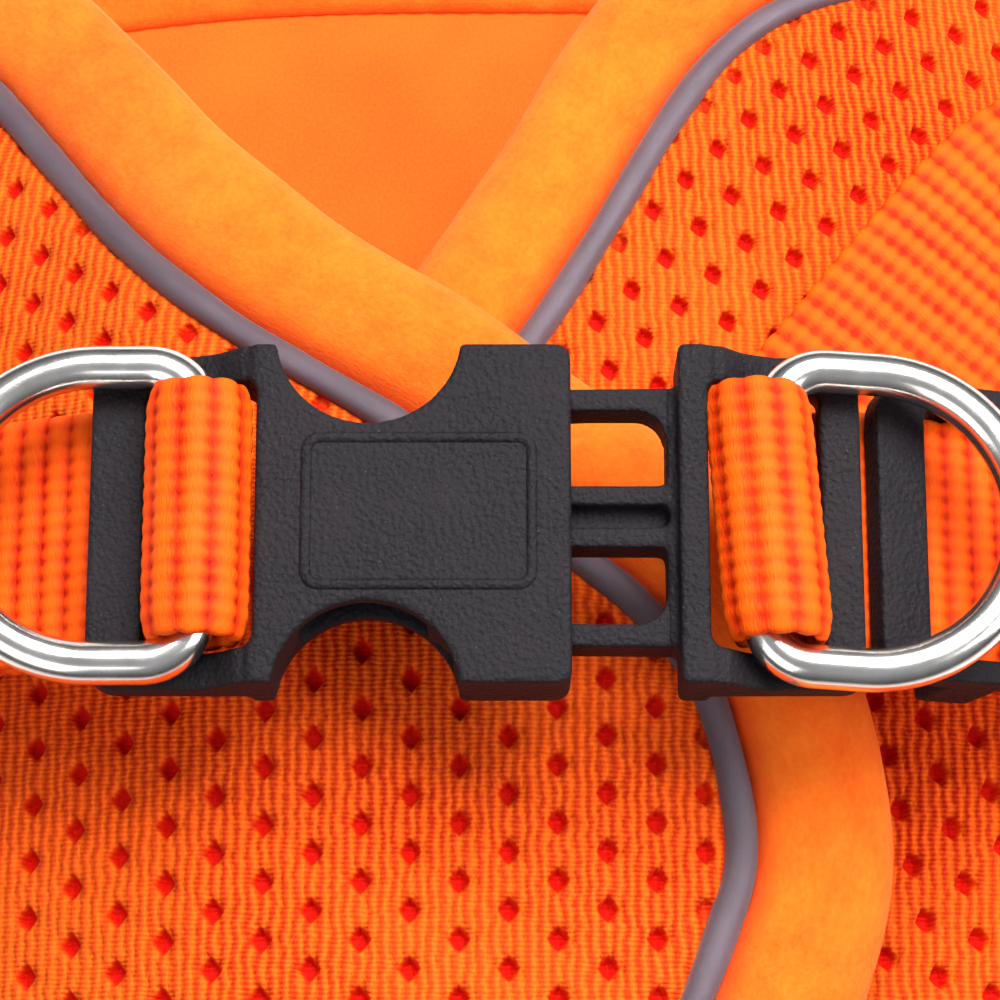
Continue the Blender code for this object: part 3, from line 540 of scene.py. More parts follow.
def past_the_loop(u, v):
    """Distance outside the piping line, negative inside, and the nearest place on it."""
    distance, nearest = np.empty(len(u)), np.empty((len(u), 2))
    for start in range(0, len(u), 4000):
        part = slice(start, start + 4000)
        away = np.stack([u[part], v[part]], -1)[:, None, :] - LOOP[None]
        index = (away**2).sum(-1).argmin(1)
        rows = np.arange(len(index))
        step = away[rows, index]
        along = (step * LOOP_ALONG[index]).sum(-1)
        distance[part] = (step * LOOP_OUT[index]).sum(-1)
        nearest[part] = LOOP[index] + LOOP_ALONG[index] * along[:, None]
    return distance, nearest


def fit_panel(u, v, side, reach):
    """Moves points of a panel that lie outside it onto its edge.

    side is -1, 0 or 1: left wing, chest, right wing. reach is how far the cloth runs on under the edge trim.
    Returns the points, which of them were moved, and how far each is inside the nearest edge.
    """
    moved = np.zeros(len(u), bool)
    inside = np.full(len(u), 50.0)
    towards = 1 if side else -1
    for seam in (side,) if side else (-1, 1):
        gap = towards * (seam * u - SEAM_U) - hole_edge(v)
        out = gap < 0
        u = np.where(out, u - seam * towards * gap, u)
        moved |= out
        inside = np.minimum(inside, np.maximum(gap, 0.0))
    distance, nearest = past_the_loop(u, v)
    out, pull = distance > reach, np.maximum(distance, reach)
    u = np.where(out, nearest[:, 0] + (u - nearest[:, 0]) * reach / pull, u)
    v = np.where(out, nearest[:, 1] + (v - nearest[:, 1]) * reach / pull, v)
    inside = np.minimum(inside, np.maximum(-distance, 0.0))
    return u, v, moved | out, inside


def hole_tile():
    """Points of one diamond of mesh round its hole, with each one's height and how much painted shade it gets
    in the hole, and its faces.
    """
    steps = 16
    cos, sin = circle(steps)
    reach = 1 / (np.abs(cos) + np.abs(sin))
    diamond = np.stack([cos * reach * HOLE_PITCH_U / 2, sin * reach * HOLE_PITCH_V / 2], -1)
    rim = np.stack([cos * HOLE_HALF_U, sin * HOLE_HALF_V], -1) * (0.35 + 0.65 * reach)[:, None]
    rings = [
        (diamond, 0.0, 0.0),
        (diamond * 0.5 + rim * 0.62, 0.06, 0.0),
        (rim * 1.2, -0.02, 0.0),
        (rim * 1.0, -0.3, 0.45),
        (rim * 0.88, -HOLE_DEPTH * 0.7, 0.9),
        (rim * 0.7, -HOLE_DEPTH, 1.0),
    ]
    points = np.vstack([r for r, _, _ in rings] + [np.zeros((1, 2))])
    height = np.concatenate([np.full(steps, h) for _, h, _ in rings] + [[-HOLE_DEPTH]])
    # How much painted shade each ring gets: none on the cloth, most at the hole's bottom.
    hole_shade = np.concatenate([np.full(steps, d) for _, _, d in rings] + [[1.0]])
    faces = grid_faces(len(rings), steps, around=True)
    last = (len(rings) - 1) * steps
    faces += [[last + k, last + (k + 1) % steps, len(points) - 1, len(points) - 1] for k in range(steps)]
    return points, height, hole_shade, np.array(faces)


# Towards a panel's edges its cloth sinks this deep under the trims, over this distance.
SINK_DEPTH, SINK_RUN = 0.9, 3.0


def laid_panel(name, side, tile, pitch, turn, surface, material, reach):
    """A panel covered with tiles on a diamond lattice, trimmed to the panel and bent into the vest."""
    points, rise, hole_shade, faces = tile
    turn = math.radians(turn)
    across = np.array([math.cos(turn), math.sin(turn)])
    up = np.array([-math.sin(turn), math.cos(turn)])
    middle = np.array([{-1: -140.0, 0: 0.0, 1: 140.0}[side], 0.0])
    i, j = np.meshgrid(np.arange(-60, 61), np.arange(-80, 81), indexing="ij")
    keep = (i + j) % 2 == 0
    centres = middle + i[keep][:, None] * across * pitch[0] / 2 + j[keep][:, None] * up * pitch[1] / 2
    near = np.hypot(*pitch) / 2
    distance, _ = past_the_loop(centres[:, 0], centres[:, 1])
    close = distance < reach + near
    outward = (np.abs(centres[:, 0]) - SEAM_U) * (1 if side else -1)
    close &= outward > -near
    if side:
        close &= np.sign(centres[:, 0]) == side
    centres = centres[close]
    turned = points[:, :1] * across + points[:, 1:] * up
    flat = (centres[:, None] + turned[None]).reshape(-1, 2)
    u, v, moved, inside = fit_panel(flat[:, 0], flat[:, 1], side, reach)
    count, size = len(centres), len(points)
    all_faces = (faces[None] + (np.arange(count) * size)[:, None, None]).reshape(-1, 4)
    all_faces = all_faces[~moved[all_faces].all(1)]
    # Weld the tiles along their common edges.
    key = np.round(np.stack([u, v], -1) * 2000).astype(np.int64)
    _, first, index = np.unique(key, axis=0, return_index=True, return_inverse=True)
    index = index.reshape(-1)
    kept = []
    for face in index[all_faces].tolist():
        corners = [c for k, c in enumerate(face) if c != face[k - 1]]
        if len(set(corners)) == len(corners) > 2:
            kept.append(corners)
    u, v, inside = u[first], v[first], inside[first]
    used = np.unique(np.concatenate([np.array(f) for f in kept]))
    back = np.full(len(u), -1)
    back[used] = np.arange(len(used))
    kept = [[int(back[c]) for c in f] for f in kept]
    u, v, inside = u[used], v[used], inside[used]
    rise, hole_shade = np.tile(rise, count)[first][used], np.tile(hole_shade, count)[first][used]
    sink = 1 - smooth_step(inside / SINK_RUN)
    height = surface + rise * (1 - sink) - sink * SINK_DEPTH * np.sign(surface)
    made = new_mesh(name, vest(u, v, height), kept, material)
    # The holes' painted shade fades out where the cloth sinks under the trims.
    paint(made, "hole_shade", hole_shade * (1 - sink))
    lay_out(made, u, v)
    return made


def lining_tile(size):
    """A plain diamond of lining, in the form of hole_tile."""
    steps = np.linspace(-0.5, 0.5, 3)
    a, b = np.meshgrid(steps, steps, indexing="ij")
    points = np.stack([(a - b).ravel() * size[0] / 2, (a + b).ravel() * size[1] / 2], -1)
    return points, np.zeros(9), np.zeros(9), np.array(grid_faces(3, 3))


def make_panels():
    """The outer air mesh and the lining of both wings and the chest."""
    wing, chest = (150.0 * MM, 128.0 * MM), (140.0 * MM, 127.0 * MM)
    pitch, lining_pitch = (HOLE_PITCH_U, HOLE_PITCH_V), (6.0, 6.0)
    for name, side, turn, flat in (
        ("left_wing", -1, 0.0, wing),
        ("right_wing", 1, -12.0, wing),
        ("chest", 0, 0.0, chest),
    ):
        outer, inner = f"{name}_air_mesh", f"{name}_inner_lining"
        outer = laid_panel(outer, side, hole_tile(), pitch, turn, MESH_TOP, mesh_cloth, 1.6)
        dress(outer, "vest", "mesh", f"{name}_mesh_panel")
        tile = lining_tile(lining_pitch)
        inner = laid_panel(inner, side, tile, lining_pitch, 0.0, LINING_HEIGHT, lining_cloth, 2.5)
        dress(inner, "vest", "lining", f"{name}_lining")
        for piece in (outer, inner):
            sum(flat_area(piece)) * MM * MM


def flat_area(piece):
    """The area of each face of a piece in the flat cut, in square millimetres."""
    data = piece.data
    uv = np.zeros(len(data.loops) * 2, np.float32)
    data.uv_layers["flat_cut"].data.foreach_get("uv", uv)
    uv = uv.reshape(-1, 2).astype(float)
    for face in data.polygons:
        p = uv[face.loop_start : face.loop_start + face.loop_total]
        q = np.roll(p, -1, axis=0)
        yield abs(float((p[:, 0] * q[:, 1] - p[:, 1] * q[:, 0]).sum())) / 2


# ---------------------------------------------------------------- edge trims


def swept(name, line, directions, profile, material, closed=True, seam=None):
    """A trim with a profile of (distance out, height) for each place along a flat-cut line."""
    out = np.stack([-directions[:, 1], directions[:, 0]], -1)
    u = line[:, None, 0] + out[:, None, 0] * profile[..., 0]
    v = line[:, None, 1] + out[:, None, 1] * profile[..., 0]
    made = tube(name, vest(u, v, above_the_floor(u, profile[..., 1])), material, closed=closed)
    around = np.linspace(0, 30, profile.shape[1])
    lay_out(made, np.repeat(travelled(line), profile.shape[1]), np.tile(around, len(line)))
    # seam is how much painted shade the material puts in the crease along a trim's seam.
    paint(made, "seam", (np.zeros(u.shape) if seam is None else seam).ravel())
    return made


BAND_PROFILE = [(0.6, -1.2), (1.6, -1.9), (4.0, -2.4), (7.5, -2.3), (10.6, -1.9), (12.2, -1.1), (12.8, 0.0)]
BAND_PROFILE += [(12.5, 1.0), (11.6, 1.9), (10.0, 2.5), (8.0, 2.85), (6.0, 2.95), (4.4, 2.8), (3.1, 2.45)]
BAND_PROFILE += [(2.1, 1.9), (1.3, 1.1), (0.6, 0.2)]
BAND_SPACING, STITCH_PITCH = 0.8, 3.1


def make_band():
    """The puffy brushed band, drawn in a little at each stitch of its seam."""
    line = even(LOOP, BAND_SPACING, closed=True)
    along = np.arange(len(line))[:, None] * BAND_SPACING
    out, height = np.array(BAND_PROFILE).T
    near_seam = np.exp(-((out - 2.0) ** 2) / 3.0)
    pucker = 0.5 + 0.5 * np.cos(along * 2 * math.pi / STITCH_PITCH)
    sway = np.sin(along * 0.13) * 0.22 + np.sin(along * 0.31 + 1.0) * 0.14 + np.sin(along * 0.057 + 2.0) * 0.3
    top = height > 0
    swayed_out = out + np.where(out > 9.0, 0.55 * sway, 0.0)
    swayed_height = height + np.where(top, 0.2 * sway - 0.24 * pucker * near_seam, 0.0)
    profile = np.stack([swayed_out, swayed_height], -1)
    # Painted shade goes in the crease where the band dips beside the piping.
    seam = np.where(top, np.exp(-((out - 1.2) ** 2) / 1.2), 0.0)
    seam = np.broadcast_to(seam, profile.shape[:2])
    band = swept("edge_band", line, tangents(line, closed=True), profile, band_cloth, seam=seam)
    dress(band, "vest", "band", "neck_edge_band", "rear_edge_band")


PIPING_RADIUS, PIPING_HEIGHT = 1.32, 1.0


def make_piping():
    line = even(LOOP, 0.7, closed=True)
    cos, sin = circle(12)
    place = np.arange(len(line))[:, None]
    sway = 1 + 0.03 * np.sin(place * 0.4) + 0.03 * np.sin(place * 0.17 + 1)
    height = np.broadcast_to(PIPING_HEIGHT + PIPING_RADIUS * sin, (len(line), 12))
    profile = np.stack([PIPING_RADIUS * cos * sway, height], -1)
    piping = swept("edge_piping", line, tangents(line, closed=True), profile, piping_cloth)
    dress(piping, "vest", "piping", "neck_edge_piping", "rear_edge_piping")


def make_leg_bindings():
    """A soft binding round each leg hole, puckered by its stitches."""
    count, ring = 200, 14
    cos, sin = (a[:, None] for a in circle(count))
    reach = np.sign(cos) * np.abs(cos) ** LEG_HOLE_ROUNDNESS
    around = np.arange(ring) * 2 * math.pi / ring
    radius = 2.15 * (1 + 0.035 * np.cos(np.arange(count) * 2 * math.pi / 4))[:, None]
    inset = 2.2 - radius * 1.15 * np.cos(around)
    u = SEAM_U + (LEG_HOLE_HALF_U - inset) * reach
    v = LEG_HOLE_V + (LEG_HOLE_HALF_V - inset) * sin
    height = above_the_floor(u, -0.1 + radius * np.sin(around))
    for name, side in (("left", -1), ("right", 1)):
        made = tube(f"{name}_leg_hole_binding", vest(side * u, v, height), band_cloth, closed=True)
        lay_out(made, np.repeat(np.arange(count) * 0.9, ring), np.tile(np.arange(ring) * 1.0, count))
        # Painted shade goes in the crease where the binding meets the mesh.
        paint(made, "seam", np.tile(np.exp(-((around - math.pi * 0.8) ** 2) / 0.1), count))
        dress(made, "vest", "band", f"{name}_leg_binding")


def make_seams():
    """Folded tapes over the seams between the chest panel and the wings, before and behind the leg holes."""
    cross = [(-2.6, 0.5), (-2.3, 1.6), (-1.5, 2.0), (0.0, 2.15), (1.5, 2.0), (2.3, 1.6), (2.6, 0.5)]
    cross.append((0.0, 0.2))
    count = 60
    profile = np.repeat(np.array(cross)[None], count, 0)
    for name, side in (("left", -1), ("right", 1)):
        for part, start, end in (("rear", -55.5, -11.0), ("front", 47.0, 72.5)):
            line = np.stack([np.full(count, side * SEAM_U), np.linspace(start, end, count)], -1)
            made = swept(f"{name}_{part}_seam_tape", line, tangents(line), profile, band_cloth, closed=False)
            dress(made, "vest", "band")


def make_patches():
    """Hook tape under the left wing and loop tape on the right one, where the wings lap."""
    rows, columns = 31, 25
    faces = grid_faces(rows, columns)
    faces += [[rows * columns + corner for corner in face[::-1]] for face in faces]
    for name, side, middle in (("hook_patch", -1, -2.95), ("loop_patch", 1, 2.45)):
        u = [on_top(x, 0, side)[0] for x in np.linspace(*PATCH_X, columns)]
        u, v = np.meshgrid(u, np.linspace(*PATCH_Y, rows))
        points = np.vstack([vest(u, v, middle + h).reshape(-1, 3) for h in (0.5, -0.5)])
        dress(new_mesh(f"{name}_tape", points, faces, tape), "vest", "closure", name)


# ---------------------------------------------------------------- webbing

# A section's ten points, as shares of its half width and half thickness.
SPANS = np.array([-1.0, -0.5, 0.0, 0.5, 1.0])
SECTION = np.array([(w, -1.0) for w in SPANS] + [(w, 1.0) for w in SPANS[::-1]])
LOWER_FACE, UPPER_FACE = [0, 1, 2, 3, 4], [9, 8, 7, 6, 5]


def free_webbing(path):
    """Sections of webbing along a path in space. Its width lies as near to +Y as the path allows."""
    path = np.asarray(path, float)
    along = tangents(path)
    across = unit(np.array([0.0, 1.0, 0.0]) - along * along[:, 1:2])
    normal = np.cross(along, across)
    w, t = SECTION[:, 0] * WEBBING_WIDTH / 2, SECTION[:, 1] * WEBBING_THICKNESS / 2
    return path[:, None] + across[:, None] * w[None, :, None] + normal[:, None] * t[None, :, None]


def sewn_webbing(points):
    """Sections of webbing that lies on the vest along flat-cut points."""
    line = spline(points, 4.0)
    side = -math.copysign(1.0, line[0, 0])
    along = tangents(line)
    across = np.stack([-along[:, 1], along[:, 0]], -1) * np.sign(along[:, :1]) * WEBBING_WIDTH / 2
    u = line[:, :1] + across[:, :1] * SECTION[:, 0]
    v = line[:, 1:] + across[:, 1:] * SECTION[:, 0]
    middle = MESH_TOP + WEBBING_GAP + WEBBING_THICKNESS / 2
    return vest(u, v, middle + side * SECTION[:, 1] * WEBBING_THICKNESS / 2)


def weave(name, sections, shift=0.0, step=0.36, across_count=85):
    """Woven webbing through coarse sections: ribs across the width, with a pit between each two cords.

    Returns the piece and, for its stitches, the places of its lower and upper face and the latter's normals.
    """
    dense = spline(sections, 0.5)
    travel = travelled(dense.mean(1))
    at = np.linspace(0, travel[-1], max(4, round(travel[-1] / step)) + 1)
    flat = dense.reshape(len(dense), -1)
    rows = np.stack([np.interp(at, travel, column) for column in flat.T], -1).reshape(len(at), -1, 3)
    w = np.linspace(-1, 1, across_count)

    def face(columns):
        rails = np.moveaxis(rows[:, columns], -1, 0)
        return np.stack([[np.interp(w, SPANS, rail) for rail in axis] for axis in rails], -1)

    low, high = face(LOWER_FACE), face(UPPER_FACE)
    normal, outward = unit(high - low), unit(high[:, -1:] - high[:, :1])
    phase = (at + shift) / RIB_PITCH
    turn = 2 * (phase - np.floor(phase)) - 1
    gap = (0.5 - 0.5 * np.cos(2 * math.pi * w[None] * WEBBING_WIDTH / 2 / CORD_PITCH)) ** 1.6
    valley = np.abs(turn[:, None]) ** 2.1
    ridge = 1 - valley * (0.6 + 0.4 * gap) - 0.14 * gap * (1 - valley)
    # The selvedges thin out and bulge a little past the width at each rib.
    edge = (np.abs(w) ** 14)[None, :, None]
    bulge = (0.3 * np.abs(w) ** 8 * np.sign(w))[None, :, None] * (0.25 + ridge[..., None])
    lift = RIB_HEIGHT * (ridge[..., None] - RIB_SINK) * (1 - 0.75 * edge) - 0.55 * edge
    top = high + normal * lift + outward * bulge
    bottom = low - normal * lift + outward * bulge
    made = tube(name, np.concatenate([bottom, top[:, ::-1]], 1), webbing_cloth)
    # The ridge number also sets the webbing material's painted shade in the hollows.
    paint(made, "ridge", np.concatenate([ridge, ridge[:, ::-1]], 1).ravel())
    place = np.concatenate([w, w[::-1]]) * WEBBING_WIDTH / 2
    lay_out(made, np.repeat(at, 2 * across_count), np.tile(place, len(at)))
    return made, low, high, normal


def layers_below_bar():
    """Heights of the middles of the two layers of webbing under a buckle half's bar."""
    upper = TAIL_LOW - WEBBING_GAP - WEBBING_THICKNESS / 2
    return upper, upper - WEBBING_THICKNESS - WEBBING_GAP


def flat_path(points):
    return [(x, 0.0, z) for x, z in points]


def ring_loop(bar_x, side):
    """The webbing's way from the lower layer under the bar, round the ring's straight side and back."""
    upper, lower = layers_below_bar()
    near = WEBBING_GAP + WEBBING_THICKNESS / 2
    far = near + WEBBING_THICKNESS + WEBBING_GAP
    up = [(-1.5, lower), (0.4, lower), (far - 1.4, lower + 0.5), (far - 0.2, lower + 1.9)]
    up += [(far + 0.1, TAIL_LOW + 0.8)]
    turn = [math.radians(a) for a in (-35, 0, 36, 72, 108, 144, 180)]
    over = [(RING_FROM_BAR + RING_TURN_X * math.cos(a), RING_Z + RING_TURN_Z * math.sin(a)) for a in turn]
    down = [(near + 0.1, TAIL_HIGH - 1.2), (near + 0.08, TAIL_LOW + 0.2)]
    down += [(0.85 * near, TAIL_LOW - 0.8 * near), (0.1, upper), (-1.8, upper)]
    return [(bar_x - side * q, z) for q, z in up + over + down]


def strap_line(distance, below=0.0):
    """The place at this distance down the strap that the adjuster slides on, and this far below it."""
    x = STRAP_START[0] + distance * math.cos(STRAP_SLOPE) - below * math.sin(STRAP_SLOPE)
    z = STRAP_START[1] - distance * math.sin(STRAP_SLOPE) - below * math.cos(STRAP_SLOPE)
    return (x, 0.0, z)


def make_left_strap():
    """From its sewn end on the left wing, under the buckle's bar, round the left ring and back."""
    upper, lower = layers_below_bar()
    sewn = sewn_webbing([(-76.0, -26.0), (-92.0, -20.0), (-106.0, -11.0), (-118.0, -4.5), (-128.0, -1.0)])
    free = flat_path([(-56.0, 65.0), (-49.0, 70.6), (-41.0, 75.8), (-35.0, 78.6), (-31.0, lower - 0.15)])
    back = flat_path([(-31.5, upper - 0.15), (-35.6, upper - 1.6), (-41.4, 78.0), (-46.0, 75.4)])
    path = spline(free + flat_path(ring_loop(FEMALE_BAR_X, -1)) + back, 2.6)
    strap, _, high, normal = weave("left_strap_webbing", np.concatenate([sewn, free_webbing(path)]))
    dress(strap, "vest", "webbing", "left_strap")
    box_stitches("left_strap_stitches", high, normal, 6, 58)


def make_right_straps():
    """From its sewn end on the right wing, through the adjuster, round the right ring and back."""
    upper, _ = layers_below_bar()
    layer = WEBBING_THICKNESS + WEBBING_GAP
    back = [strap_line(0.6, layer), strap_line(0.0, layer), strap_line(-2.2, layer - 0.15)]
    run = flat_path([(MALE_BAR_X + 3.4, upper - 0.1)]) + [strap_line(d) for d in (1.0, 8.0, 17.0, 26.0, 33.0)]
    down = [(68.3, -0.1, 64.3), (72.9, -1.2, 57.2), (77.9, -4.9, 48.4)]
    path = spline(back + flat_path(ring_loop(MALE_BAR_X, 1)) + run + down, 2.6)
    sewn = sewn_webbing([(76.0, -26.0), (92.0, -20.0), (105.0, -10.0)])
    sections = np.concatenate([sewn, free_webbing(path[::-1])])
    share = smooth_step((sections[..., 2] - 83.0) / 4.0) * (sections[..., 0] < 40)
    sections[..., 0] += math.tan(RIGHT_RING_YAW) * sections[..., 1] * share
    strap, low, _, normal = weave("right_strap_webbing", sections, shift=0.6)
    dress(strap, None, "webbing", "right_girth_strap", "adjuster_strap")
    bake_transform(strap)
    box_stitches("right_strap_stitches", low, -normal, 6, 58)


def make_shoulder_straps():
    right = [on_top(x, y, 1) for x, y in ((22.0, 5.3), (29.9, 14.2), (49.7, 36.0))]
    right += [(128.0, 42.0), (113.0, 44.5)]
    left = [on_top(x, y, -1) for x, y in ((-53.0, 16.0), (-59.5, 25.0))] + [(-121.0, 34.0), (-108.0, 42.0)]
    for name, points in (("right_shoulder", right), ("left_shoulder", left)):
        strap, low, high, normal = weave(f"{name}_webbing", sewn_webbing(points), shift=0.9)
        dress(strap, "vest", "webbing", f"{name}_strap")
        rows = len(low)
        face, out = (low, -normal) if name == "right_shoulder" else (high, normal)
        box_stitches(f"{name}_stitches", face, out, rows - 48, rows - 6)
        if name == "left_shoulder":
            box_stitches(f"{name}_end_stitches", face, out, 5, 40)


def on_slider(points):
    """Places in the model of points given in the slider's own axes."""
    x, y, z = np.moveaxis(np.asarray(points, float), -1, 0)
    cos, sin = math.cos(STRAP_SLOPE), math.sin(STRAP_SLOPE)
    centre = strap_line(SLIDER_DISTANCE)
    return np.stack([centre[0] + cos * x + sin * z, y, centre[2] - sin * x + cos * z], -1)


def slider_heights():
    """The slider frame's underside and its bar's top, in the slider's own axes."""
    clear = WEBBING_THICKNESS / 2 + WEBBING_GAP
    return clear, -clear - WEBBING_THICKNESS - WEBBING_GAP


def make_slider_loop():
    clear, bar_top = slider_heights()
    top, bottom = -clear - WEBBING_THICKNESS / 2, bar_top - 1.5 - WEBBING_GAP - WEBBING_THICKNESS / 2
    reach, middle, radius = 1.9 + WEBBING_GAP, (top + bottom) / 2, (top - bottom) / 2
    turn = [math.radians(a) for a in (70, 25, -25, -70)]
    path = [(-5.0, top), (-2.5, top), (0.5, top)]
    path += [(reach + radius * math.cos(a), middle + radius * math.sin(a)) for a in turn]
    path += [(0.5, bottom), (-1.6, bottom + 0.2), (-3.4, top - 2.9), (-5.0, top - 2.3)]
    loop = weave("slider_loop_webbing", on_slider(free_webbing(spline(flat_path(path), 1.6))))[0]
    dress(loop, "adjuster", "webbing", "slider_loop")


def stitches(name, places, along, up, length=2.3, radius=0.3):
    """Short lengths of thread lying on cloth: one small capsule for each place."""
    shape = np.array([(-0.5, 0.12), (-0.44, 0.72), (-0.25, 1.0), (0.25, 1.0), (0.44, 0.72), (0.5, 0.12)])
    cos, sin = (a[None, :, None] for a in circle(8))
    places, along, up = (np.asarray(a, float) for a in (places, along, up))
    along = unit(along)
    across = unit(np.cross(up, along))
    up = np.cross(along, across)
    ring = across[:, None] * cos + up[:, None] * sin * 0.8
    rings = []
    for at, thick in shape:
        dip = up * (-1.1 * radius * (2 * at) ** 4)
        rings.append((places + along * at * length + dip)[:, None] + ring * radius * thick)
    rings = np.stack(rings, 1)
    count = len(places)
    one = np.array(grid_faces(len(shape), 8, around=True))
    size = len(shape) * 8
    faces = (one[None] + (np.arange(count) * size)[:, None, None]).reshape(-1, 4).tolist()
    for k in range(count):
        faces.append([k * size + c for c in range(8)][::-1])
        faces.append([(k + 1) * size - 8 + c for c in range(8)])
    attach(outwards(new_mesh(name, rings.reshape(-1, 3), faces, thread)), "vest")


def box_stitches(name, face, outward, first, last, share=0.8, pitch=2.9):
    """A sewn box with its two diagonals on a strap's outer face, between two of its rows."""
    columns = face.shape[1]

    def at(row, across):
        i, j = round(row), round((across + 1) / 2 * (columns - 1))
        return face[i, j], outward[i, j]

    a, b, c, d = (first, -share), (last, -share), (last, share), (first, share)
    places, along, up = [], [], []
    for start, end in ((a, b), (b, c), (c, d), (d, a), (a, c), (d, b)):
        start, end = np.array(start), np.array(end)
        count = max(1, round(float(np.linalg.norm(at(*end)[0] - at(*start)[0])) / pitch))
        for k in range(count):
            before, middle, after = (start + (end - start) * (k + t) / count for t in (0.0, 0.5, 1.0))
            place, out = at(*middle)
            places.append(place + out * 0.2)
            along.append(at(*after)[0] - at(*before)[0])
            up.append(out)
    stitches(name, places, along, up)


# ---------------------------------------------------------------- hardware


def prism(name, outline, low, high):
    """An upright solid with this outline."""
    outline = np.asarray(outline, float)
    ends = [np.column_stack([outline, np.full(len(outline), z)]) for z in (low, high)]
    return tube(name, np.stack(ends), None)


def settled(obj):
    """Applies the modifiers."""
    mesh = bpy.data.meshes.new_from_object(obj.evaluated_get(bpy.context.evaluated_depsgraph_get()))
    obj.modifiers.clear()
    old, obj.data = obj.data, mesh
    bpy.data.meshes.remove(old)
    return obj


def combine(target, operation, other):
    modifier = target.modifiers.new("combine", "BOOLEAN")
    modifier.operation, modifier.solver, modifier.object = operation, "EXACT", other
    settled(target)
    bpy.data.objects.remove(other, do_unlink=True)
    return target


def add(body, outline, low, high):
    combine(body, "UNION", prism("part", outline, low, high))


def cut(body, outline, low, high):
    combine(body, "DIFFERENCE", prism("part", outline, low, high))


def bar_along_y(side, low, high):
    """A solid with this outline in x, z, between two places in y."""
    return tube("part", np.array([[(x, y, z) for x, z in side] for y in (low, high)]), None)


def moulded(obj, body, node, cell=0.24, smoothing=5):
    """Turns sharp solid parts into one moulded piece with soft edges."""
    remesh = obj.modifiers.new("cells", "REMESH")
    remesh.mode, remesh.voxel_size, remesh.use_smooth_shade = "VOXEL", cell * MM, True
    smooth = obj.modifiers.new("smooth", "SMOOTH")
    smooth.factor, smooth.iterations = 0.5, smoothing
    settled(obj)
    obj.data.materials.clear()
    obj.data.materials.append(plastic)
    obj.data.shade_smooth()
    dress(obj, body, "buckle_plastic", node)


def female_outline():
    """The socket half's outline, with a finger notch in each side."""
    half = BUCKLE_HALF_WIDTH
    half_chord = math.sqrt(NOTCH_RADIUS**2 - (NOTCH_Y - BUCKLE_HALF_WIDTH) ** 2)
    sweep = math.degrees(math.acos(half_chord / NOTCH_RADIUS))
    front = arc(MOUTH_X - 1.2, half - 1.2, 1.2, 0, 90, 8)
    notch = arc(NOTCH_X, NOTCH_Y, NOTCH_RADIUS, -sweep, -180 + sweep, 40)
    upper = front + notch + [(BODY_X - 0.3, half)]
    return upper + [(x, -y) for x, y in reversed(upper)]


def side_ramps(target, x_high, x_low):
    """Rounds a half's thick body down to its thin tail on both sides of the slot."""
    run = x_low - x_high
    side = [(x_high, TAIL_LOW + 0.8), (x_low, TAIL_LOW + 0.8), (x_low, TAIL_HIGH - 0.2)]
    side += [(x_high + 0.63 * run, 87.3), (x_high + 0.35 * run, BODY_HIGH - 0.75), (x_high, BODY_HIGH - 0.25)]
    for sign in (1, -1):
        ends = sorted((sign * (SLOT_HALF_WIDTH - 0.4), sign * BUCKLE_HALF_WIDTH))
        combine(target, "UNION", bar_along_y(side, *ends))


def make_female():
    """The socket half: a hollow body with finger notches, and a tail with the strap's slot and bar."""
    half = BUCKLE_HALF_WIDTH - 0.1
    body = prism("socket_half", female_outline(), BODY_LOW + 0.2, BODY_HIGH - 0.2)
    add(body, rounded_box(FEMALE_END_X, BODY_X + 2.0, -half, half, 2.4), TAIL_LOW, TAIL_HIGH)
    side_ramps(body, BODY_X + 1.0, BODY_X - 5.5)
    cut(body, rounded_box(FEMALE_BAR_X, BODY_X, -SLOT_HALF_WIDTH, SLOT_HALF_WIDTH, 1.0), *THROUGH)
    socket = rounded_box(SOCKET_END_X, MOUTH_X + 2.0, -SOCKET_HALF_WIDTH, SOCKET_HALF_WIDTH, 0.6)
    cut(body, socket, SOCKET_LOW, SOCKET_HIGH)
    moulded(body, "vest", "buckle_female", smoothing=9)


def make_panel_ridge():
    """The low ridge round the blank panel on top of the socket half."""
    panel_x = NOTCH_X + 4.0
    middle = np.array(rounded_box(panel_x - 8.7, panel_x + 8.7, -5.85, 5.85, 1.1, steps=10))
    along = tangents(middle, closed=True)
    out = np.stack([along[:, 1], -along[:, 0]], -1)
    profile = np.array([(-0.5, -0.2), (-0.4, 0.1), (-0.2, 0.26), (0.2, 0.26), (0.4, 0.1), (0.5, -0.2)])
    flat = middle[:, None] + out[:, None] * profile[None, :, :1]
    height = np.broadcast_to(BODY_HIGH - 0.22 + profile[:, 1], flat.shape[:2])
    ridge = tube("panel_ridge", np.concatenate([flat, height[..., None]], -1), plastic, closed=True)
    dress(ridge, "vest", "buckle_plastic")


